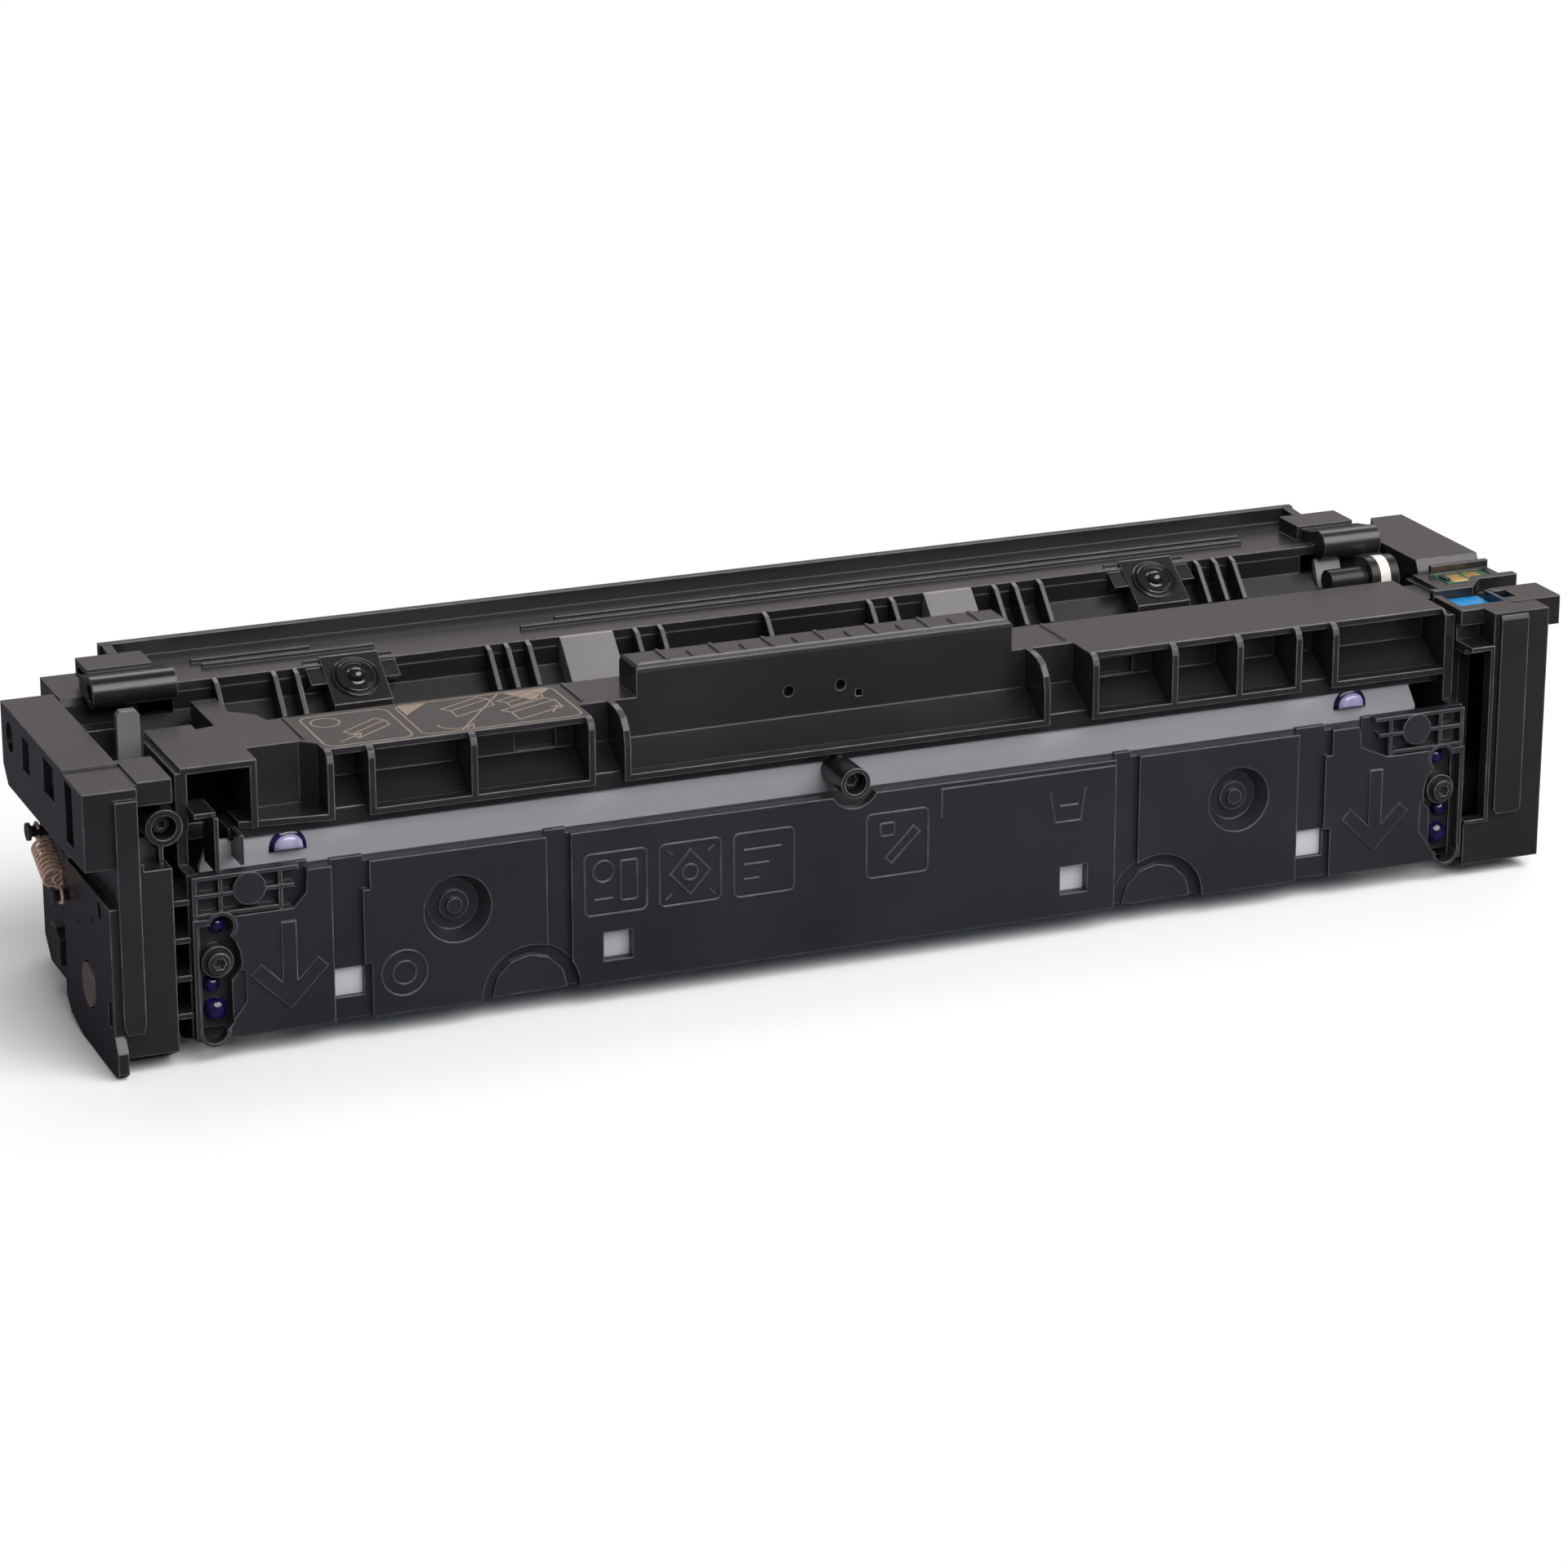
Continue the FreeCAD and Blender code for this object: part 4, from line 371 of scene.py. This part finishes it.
def ribbon(path, width, height, level, plane="XY", closed=False):
    # a low ridge along a flat path: outer foot, shoulders rounded at 45 degrees, outer foot
    path = np.asarray(path, float)
    if closed:
        path = np.vstack([path, path[:1]])
    step = np.diff(path, axis=0)
    step /= np.linalg.norm(step, axis=1)[:, None]
    before = np.vstack([step[-1:] if closed else step[:1], step])
    after = np.vstack([step, step[:1] if closed else step[-1:]])
    middle = before + after
    middle /= np.linalg.norm(middle, axis=1)[:, None]
    across = np.stack([-middle[:, 1], middle[:, 0]], axis=1)
    stretch = 1 / np.maximum(0.5, np.sum(across * np.stack([-after[:, 1], after[:, 0]], axis=1), axis=1))
    section = np.array([(-0.5, 0), (-0.36, 0.8), (-0.2, 1), (0.2, 1), (0.36, 0.8), (0.5, 0)])
    flat = path[:, None, :] + (across * stretch[:, None])[:, None, :] * (section[:, 0] * width)[None, :, None]
    rise = np.broadcast_to(section[:, 1] * height, flat.shape[:2])
    if plane == "XY":
        stacked = [flat[..., 0], flat[..., 1], level + rise]
    else:
        stacked = [flat[..., 0], level - rise, flat[..., 1]]
    faces = ringFaces(len(path), len(section), closed=False)
    if not closed:
        last = (len(path) - 1) * len(section)
        faces += [list(range(len(section))), [last + i for i in range(len(section))][::-1]]
    return np.stack(stacked, axis=-1).reshape(-1, 3), faces


def together(shapes):
    # several shapes as one: each one's faces count on from the points before it
    points, faces, count = [], [], 0
    for some, sides in shapes:
        points.append(some)
        faces += [[count + i for i in face] for face in sides]
        count += len(some)
    return np.vstack(points), faces


def piece(name, shape, finish, body, sharp=35.0, replaces=(), ride=True):
    points, faces = shape
    mesh = bpy.data.meshes.new(name)
    mesh.from_pydata(((points + originShift) / 1000).tolist(), [], faces)
    mesh.polygons.foreach_set("use_smooth", [True] * len(mesh.polygons))
    mesh.set_sharp_from_angle(angle=math.radians(sharp))
    mesh.materials.append(finishes[finish])
    made = bpy.data.objects.new(name, mesh)
    scene.collection.objects.link(made)
    if ride:
        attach(made, body)
    if replaces:
        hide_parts(*replaces)
    return made


# tension springs: an eye round each post and a coil between

springs = {
    "left": dict(x=-162.0, first=(35.0, 27.2), last=(52.4, 35.4), turns=9, wire=0.36, radius=2.56),
    "right": dict(x=166.8, first=(25.0, 27.6), last=(58.4, 36.4), turns=21, wire=0.36, radius=2.56),
}
# the eyes at both ends: wire's middle line in mm, angle where the loop starts, and how fast the coil widens
eyes = {"radius": 1.66, "reach": 3.9, "start": 55, "swell": 2.4}


def coilPath(look):
    # along the line between the posts: a loop of the eye's radius, a helix, and the loop again
    start, end = np.array(look["first"]), np.array(look["last"])
    long = np.linalg.norm(end - start)
    coil = look["radius"] - look["wire"]
    turn = np.radians(np.linspace(eyes["start"], 360, 40))
    first = np.stack([eyes["radius"] * np.cos(turn), eyes["radius"] * np.sin(turn), 0 * turn], axis=1)
    t = np.linspace(0, 1, look["turns"] * 24 + 1)
    spin = 2 * math.pi * look["turns"] * t
    grow = np.minimum(1, np.minimum(t, 1 - t) * look["turns"] * eyes["swell"])
    u = eyes["reach"] + (long - 2 * eyes["reach"]) * t
    middle = np.stack([u, coil * np.sin(spin) * grow, coil * (1 - np.cos(spin)) * grow - coil * grow], axis=1)
    last = np.stack([long - first[::-1, 0], first[::-1, 1], 0 * turn], axis=1)
    flat = np.vstack([first, middle, last])
    ahead = (end - start) / long
    points = np.empty((len(flat), 3))
    points[:, 0] = look["x"] + flat[:, 2]
    points[:, 1] = start[0] + flat[:, 0] * ahead[0] - flat[:, 1] * ahead[1]
    points[:, 2] = start[1] + flat[:, 0] * ahead[1] + flat[:, 1] * ahead[0]
    return points


for side, look in springs.items():
    way = np.subtract(look["last"], look["first"])
    way = way / np.linalg.norm(way)
    shape = tube(coilPath(look), look["wire"], (0.8, way[0], way[1]), sides=8)
    coil = piece("spring_" + side, shape, "spring_wire", "drum_unit",
                 replaces=["tension_spring_" + side], ride=False)
    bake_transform(coil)
print("springs made")


# sealing blobs: domes of resin, round beside the side screws and half-round on the strip

seals = {
    "wall": 3.42,
    "round": ((138.6, 28.5, 1.9), (140.0, 16.0, 1.8), (139.4, 10.6, 2.5)),
    "strip": dict(x=121.0, low=39.6, level=10.58, wide=3.2, tall=3.45, deep=1.75, crown=0.35, lift=0.22),
    "rim": dict(low=39.3, wide=4.0, tall=4.5, deep=0.9),  # darker resin round the thick drop
}


def cap(radius, tall, base=0.0):
    # a quarter circle as a profile, from the rim to the top
    turn = np.linspace(0, math.pi / 2, 9)
    return np.stack([np.maximum(0.02, radius * np.cos(turn)), base + tall * np.sin(turn)], axis=1)


def dome(x, level, z, radius):
    # the quarter circle turned about the way out of the wall
    return lathe(cap(radius, radius * 0.98), (x, level, z), (0, -1, 0), 28)


def halfDrop(x, look):
    # half an ellipse on the strip, each row smaller and further out by a quarter circle, the last one flat
    rows, columns = 9, 25
    f = np.linspace(0, math.pi / 2, rows)[:, None]
    size, out = look["crown"] + (1 - look["crown"]) * np.cos(f), np.sin(f)
    turn = np.linspace(0, math.pi, columns)[None, :]
    u = look["wide"] * np.cos(turn) * size
    v = look["tall"] * np.sin(turn) ** 0.8 * size + (1 - np.cos(f)) * look["tall"] * look["lift"]
    points = np.stack([x + u, look["level"] - look["deep"] * out + 0 * u, look["low"] + v], axis=-1)
    last = [(rows - 1) * columns + i for i in range(columns)]
    return points.reshape(-1, 3), ringFaces(rows, columns) + [last]


for side, sign in (("left", -1), ("right", 1)):
    shapes = [dome(sign * x, seals["wall"], z, radius) for x, z, radius in seals["round"]]
    shapes.append(halfDrop(sign * seals["strip"]["x"], {**seals["strip"], **seals["rim"]}))
    piece("seals_" + side, together(shapes), "seal", "drum_unit", sharp=60,
          replaces=["end_seals_" + side])
    drop = halfDrop(sign * seals["strip"]["x"], seals["strip"])
    piece("strip_seal_" + side, drop, "seal_pale", "drum_unit", sharp=60)
print("sealing blobs made")


# screws: washer, domed head with a six-lobed recess

screwPlaces = {
    "centre": dict(at=(-1.3, 2.2, 41.2), head=2.3, shaft=7.6),
    "left": dict(at=(-139.1, -0.6, 21.2), head=2.4, shaft=3.6),
    "right": dict(at=(139.1, -0.6, 21.2), head=2.4, shaft=3.6),
}


def screw(look):
    # shank, washer, head and recess as one profile; the recess rows have six lobes
    r = look["head"]
    profile = [(1.3, -look["shaft"]), (1.3, -1.6), (r, -1.6), (r, -0.5), (r * 0.94, -0.2), (r * 0.74, 0.0),
               (1.16, 0.0), (1.06, -0.1), (1.0, -0.9), (0.25, -1.05)]
    return lathe(profile, look["at"], (0, -1, 0), 48, 6, 0.14, lobed=(6, 7, 8))


piece("screw_heads", together([screw(look) for look in screwPlaces.values()]), "black_moulding", "drum_unit",
      replaces=["screws"])
print("screws made")


# discs and domes on the lid's square plates

discs = {"x": 93.0, "y": 50.9, "z": 60.49, "tilt": 35.0, "rings": (5.2, 4.3, 3.3), "dome": 1.8}


def stack(x):
    # three steps and the dome as one profile, turned about the slanted plate's normal
    a = math.radians(discs["tilt"])
    outer, middle, inner = discs["rings"]
    r = discs["dome"]
    profile = [(outer, -0.3), (outer, 0.35), (outer - 0.2, 0.5), (middle + 0.35, 0.5), (middle + 0.2, 0.2),
               (middle, 0.2), (middle - 0.1, 0.7), (middle - 0.3, 0.85), (inner + 0.1, 0.85), (inner, 0.6),
               (r + 0.35, 0.6), (r + 0.1, 0.75)]
    profile = np.vstack([profile, cap(r, 1.6, base=0.8)])
    return lathe(profile, (x, discs["y"], discs["z"]), (0, -math.sin(a), math.cos(a)), 48)


piece("lid_discs", together([stack(-discs["x"]), stack(discs["x"])]), "gloss_black", "developer_unit",
      sharp=30, replaces=["lid_domes"])
print("lid discs made")


# bronze print on the plateau: two framed fields of plain line drawing

label = {
    "level": 60.01, "line": 0.4, "height": 0.03, "corner": 2.2,
    "frames": ((-112.2, 10.4, -93.6, 30.2), (-91.6, 10.4, -57.2, 30.6)),
    "ring": (-107.8, 25.6, 3.0, 0, 342),  # x, y, radius, first and last angle
    "arc": (-83.6, 14.6, 3.6, 160, 340, 0.8),
    # x, y, length, height, slope
    "boxes": ((-104.6, 13.4, 8.6, 3.2, 0.72), (-81.6, 19.0, 9.6, 4.2, 0.5), (-70.4, 12.6, 11.0, 5.0, 0.42),
              (-69.2, 21.4, 8.4, 2.6, 0.42)),
    "strokes": (((-83.4, 10.6), (-69.0, 30.4)), ((-108.8, 12.4), (-103.0, 16.4)),
                ((-104.4, 13.6), (-103.0, 16.4), (-106.0, 16.2)), ((-82.2, 11.2), (-80.1, 13.4), (-81.0, 10.4)),
                ((-62.6, 14.4), (-60.0, 18.6)), ((-61.8, 17.8), (-60.0, 18.6), (-59.8, 16.6))),
    "solid": (((-91.0, 30.0), (-91.0, 23.6), (-84.8, 30.0)), ((-68.0, 30.0), (-57.6, 30.0), (-63.6, 23.4))),
}


def roundBox(x0, y0, x1, y1, r):
    # a quarter circle of radius r at each corner, from the upper right one round by the left
    turn = np.radians(np.arange(4)[:, None] * 90 + np.linspace(0, 90, 5))
    x = np.array([x1 - r, x0 + r, x0 + r, x1 - r])[:, None] + r * np.cos(turn)
    y = np.array([y1 - r, y1 - r, y0 + r, y0 + r])[:, None] + r * np.sin(turn)
    return np.stack([x.ravel(), y.ravel()], axis=1)


def arc(x, y, r, start, end, squash=1.0, count=17):
    # points at equal angles from start to end, in degrees; squash flattens the circle
    turn = np.radians(np.linspace(start, end, count))
    return np.stack([x + r * np.cos(turn), y + squash * r * np.sin(turn)], axis=1)


def slanted(x, y, long, tall, slope):
    # a box in outline, drawn as if seen from a corner: its front, and its top set back by (-1.6, 1.8)
    right, top = (x + long, y + long * slope), (x + long, y + long * slope + tall)
    front = [(x, y), right, top, (x, y + tall), (x, y)]
    return [front, [(x, y + tall), (x - 1.6, y + tall + 1.8), (top[0] - 1.6, top[1] + 1.8), top]]


printed = [(roundBox(*box, label["corner"]), True) for box in label["frames"]]
printed += [(arc(*label["ring"]), True), (arc(*label["arc"]), False)]
printed += [(line, False) for box in label["boxes"] for line in slanted(*box)]
printed += [(line, False) for line in label["strokes"]]
shapes = [ribbon(line, label["line"], label["height"], label["level"], closed=closed)
          for line, closed in printed]
for corners in label["solid"]:
    low = np.column_stack([corners, np.full(3, label["level"])])
    shapes.append((np.vstack([low, low + [0, 0, label["height"]]]),
                   [[2, 1, 0], [3, 4, 5], [0, 1, 4, 3], [1, 2, 5, 4], [2, 0, 3, 5]]))
piece("label_print", together(shapes), "bronze_ink", "drum_unit")
print("label printed")


# raised frames on the front panel, with plain shapes

marks = {
    "line": 0.55, "height": 0.28, "level": 0.0, "corner": 1.2, "round": 0.5,
    "frames": ((-61.5, 20.0, -47.9, 33.4), (-45.1, 19.9, -31.5, 33.4), (-28.6, 19.6, -15.1, 33.5),
               (1.3, 19.6, 15.4, 33.7)),
    "boxes": ((-53.6, 22.6, -50.0, 31.2), (4.4, 28.6, 7.6, 31.4)),
    # x, z, radius, angle of the last point, number of points
    "rings": ((-57.4, 29.4, 2.3, 342, 24), (-38.3, 26.7, 1.7, 340, 18), (-100.5, 13.6, 4.9, 345, 24),
              (-100.5, 13.6, 2.5, 342, 17)),
    "outlines": (((-38.3, 31.6), (-33.9, 26.7), (-38.3, 21.8), (-42.7, 26.7)),
                 ((5.6, 23.8), (12.0, 30.0), (13.4, 28.6), (7.0, 22.4))),
    "strokes": (((-59.4, 23.4), (-55.4, 23.4)), ((-26.4, 23.4), (-23.0, 23.4)), ((-26.4, 26.6), (-20.8, 26.6)),
                ((-26.4, 29.8), (-18.0, 29.8)), ((43.6, 33.4), (44.9, 26.2), (51.0, 26.2), (51.9, 33.4)),
                ((45.9, 29.8), (50.2, 29.8)), ((18.5, 31.0), (18.5, 37.2), (58.8, 37.2))),
    "corners": dict(x=-38.3, z=26.7, inner=(4.0, 4.2), outer=(5.4, 5.4)),  # a short stroke towards each corner
}

raised = [(roundBox(*box, marks["corner"]), True) for box in marks["frames"]]
raised += [(roundBox(*box, marks["round"]), True) for box in marks["boxes"]]
raised += [(arc(x, z, r, 0, last, count=count), True) for x, z, r, last, count in marks["rings"]]
raised += [(line, True) for line in marks["outlines"]] + [(line, False) for line in marks["strokes"]]
four = marks["corners"]
raised += [([(four["x"] + a * u, four["z"] + b * v) for u, v in (four["inner"], four["outer"])], False)
           for a in (-1, 1) for b in (-1, 1)]
shapes = [ribbon(line, marks["line"], marks["height"], marks["level"], plane="XZ", closed=closed)
          for line, closed in raised]
piece("panel_marks", together(shapes), "black_panel", "drum_unit")
print("panel marks made")


# memory chip: two gold contacts and a small component on the board

chipLook = {"level": 58.3, "pads": ((158.0, 30.8, 161.6, 36.2), (162.6, 30.8, 166.2, 36.2)), "thick": 0.08,
            "component": (156.4, 32.0, 157.6, 35.2), "rise": 0.6}


def slab(x0, y0, x1, y1, low, high, soft=0.1):
    # three rectangles, one over the other, the last set in by the chamfer
    inset, z = np.array([(0, low), (0, high - soft), (soft, high)])[:, :, None].transpose(1, 0, 2)
    x = np.where([True, False, False, True], x0 + inset, x1 - inset)
    y = np.where([True, True, False, False], y0 + inset, y1 - inset)
    faces = ringFaces(3, 4) + [[8, 9, 10, 11], [3, 2, 1, 0]]
    return np.stack([x, y, z + 0 * x], axis=-1).reshape(-1, 3), faces


pads = [slab(*box, chipLook["level"], chipLook["level"] + chipLook["thick"], soft=0.04)
        for box in chipLook["pads"]]
piece("chip_contacts", together(pads), "contact_gold", "drum_unit")
component = slab(*chipLook["component"], chipLook["level"], chipLook["level"] + chipLook["rise"], soft=0.15)
piece("chip_component", component, "rubber_black", "drum_unit")
print("chip finished")


# floor, background, light and camera

stageLook = {
    "floor": (0.86, 0.86, 0.87, 1), "reflected": (0.1, 0.096, 0.12, 1), "size": 6.0, "level": -0.0002,
    "kept": (0.168, 0.04, 0.0), "fade": (0.01, 0.1),  # white fades in at these distances from the object
}

floorMesh = bpy.data.meshes.new("floor")
s, level = stageLook["size"], stageLook["level"]
floorMesh.from_pydata([(-s, -s, level), (s, -s, level), (s, s, level), (-s, s, level)], [], [(0, 1, 2, 3)])
floorSurface = Surface("floor", {"Roughness": 0.9, "Specular IOR Level": 0.0})
glossy = floorSurface.node("ShaderNodeLightPath", output="Is Glossy Ray")
floorSurface.feed(Base_Color=floorSurface.colour(glossy, stageLook["floor"], stageLook["reflected"]))
# away from the object the camera sees the floor as plain white
seen = floorSurface.node("ShaderNodeLightPath", output="Is Camera Ray")
reach = floorSurface.node("ShaderNodeVectorMath", floorSurface.place, operation="ABSOLUTE")
reach = floorSurface.node("ShaderNodeVectorMath", reach, stageLook["kept"], operation="SUBTRACT")
reach = floorSurface.node("ShaderNodeVectorMath", reach, (0.0, 0.0, 0.0), operation="MAXIMUM")
away = floorSurface.node("ShaderNodeVectorMath", reach, operation="LENGTH", output="Value")
away = away.clip(*stageLook["fade"])
white = floorSurface.node("ShaderNodeEmission", (1, 1, 1, 1), 1.0)
lit = Wire(floorSurface, floorSurface.shader.outputs[0])
mixed = floorSurface.node("ShaderNodeMixShader", away * seen, lit, white)
floorSurface.tree.links.new(mixed.socket, floorSurface.tree.nodes["Material Output"].inputs["Surface"])
floorMesh.materials.append(floorSurface.material)
floor = bpy.data.objects.new("floor", floorMesh)
scene.collection.objects.link(floor)

# what the camera, the shine and all other rays see of the studio
worldLook = {"seen": (1, 1, 1, 1), "mirrored": (0.1, 0.097, 0.102, 1), "ambient": (0.24, 0.236, 0.24, 1)}
world = bpy.data.worlds.new("studio")
scene.world = world
world.use_nodes = True
tree = world.node_tree
background = tree.nodes["Background"]
path = tree.nodes.new("ShaderNodeLightPath")
mixer = tree.nodes.new("ShaderNodeMix")
mixer.data_type = "RGBA"
mixer.inputs[6].default_value = worldLook["ambient"]
mixer.inputs[7].default_value = worldLook["seen"]
tree.links.new(path.outputs["Is Camera Ray"], mixer.inputs[0])
shiny = tree.nodes.new("ShaderNodeMix")
shiny.data_type = "RGBA"
shiny.inputs[7].default_value = worldLook["mirrored"]
tree.links.new(path.outputs["Is Glossy Ray"], shiny.inputs[0])
tree.links.new(mixer.outputs[2], shiny.inputs[6])
tree.links.new(shiny.outputs[2], background.inputs["Color"])

lamps = {
    "top": dict(at=(0.3, -0.78, 0.9), size=(1.6, 0.8), power=21.0, colour=(1.0, 0.97, 0.96)),
    "back": dict(at=(0.45, 1.3, 0.46), size=(2.2, 0.42), power=1.3, colour=(1.0, 0.9, 0.85)),
    "rear": dict(at=(0.35, 1.1, 1.25), size=(1.6, 0.8), power=13.0, colour=(1.0, 0.97, 0.96)),
    "left": dict(at=(-1.2, -0.6, 0.6), size=(0.8, 0.8), power=0.4, colour=(0.9, 0.93, 1.0)),
    "front": dict(at=(0.5, -1.4, 0.75), size=(1.2, 0.5), power=5.0, colour=(0.92, 0.93, 1.0)),
}


lampTarget = (0, 0, 0.03)  # middle of the object


def aim(made, target):
    # turns the object so that its -Z axis points at the target and its Y axis stays upright
    way = np.array(target) - np.array(made.location)
    flat = math.hypot(way[0], way[1])
    made.rotation_euler = (math.atan2(flat, -way[2]), 0, math.atan2(way[1], way[0]) - math.pi / 2)


for name, look in lamps.items():
    light = bpy.data.lights.new("lamp_" + name, "AREA")
    light.shape = "RECTANGLE"
    light.size, light.size_y = look["size"]
    light.energy = look["power"]
    light.color = look["colour"]
    lamp = bpy.data.objects.new("lamp_" + name, light)
    lamp.location = look["at"]
    aim(lamp, lampTarget)
    scene.collection.objects.link(lamp)

eye = {"at": (-0.39441, -0.93854, 0.37463), "turn": (71.225, 0.0, -22.585), "lens": 114.5}
cameraData = bpy.data.cameras.new("camera")
cameraData.lens = eye["lens"]
cameraData.sensor_width = 36.0
camera = bpy.data.objects.new("camera", cameraData)
camera.location = eye["at"]
camera.rotation_euler = [math.radians(a) for a in eye["turn"]]
scene.collection.objects.link(camera)
scene.camera = camera
scene.view_settings.view_transform = "Standard"
print("stage, lights and camera set")
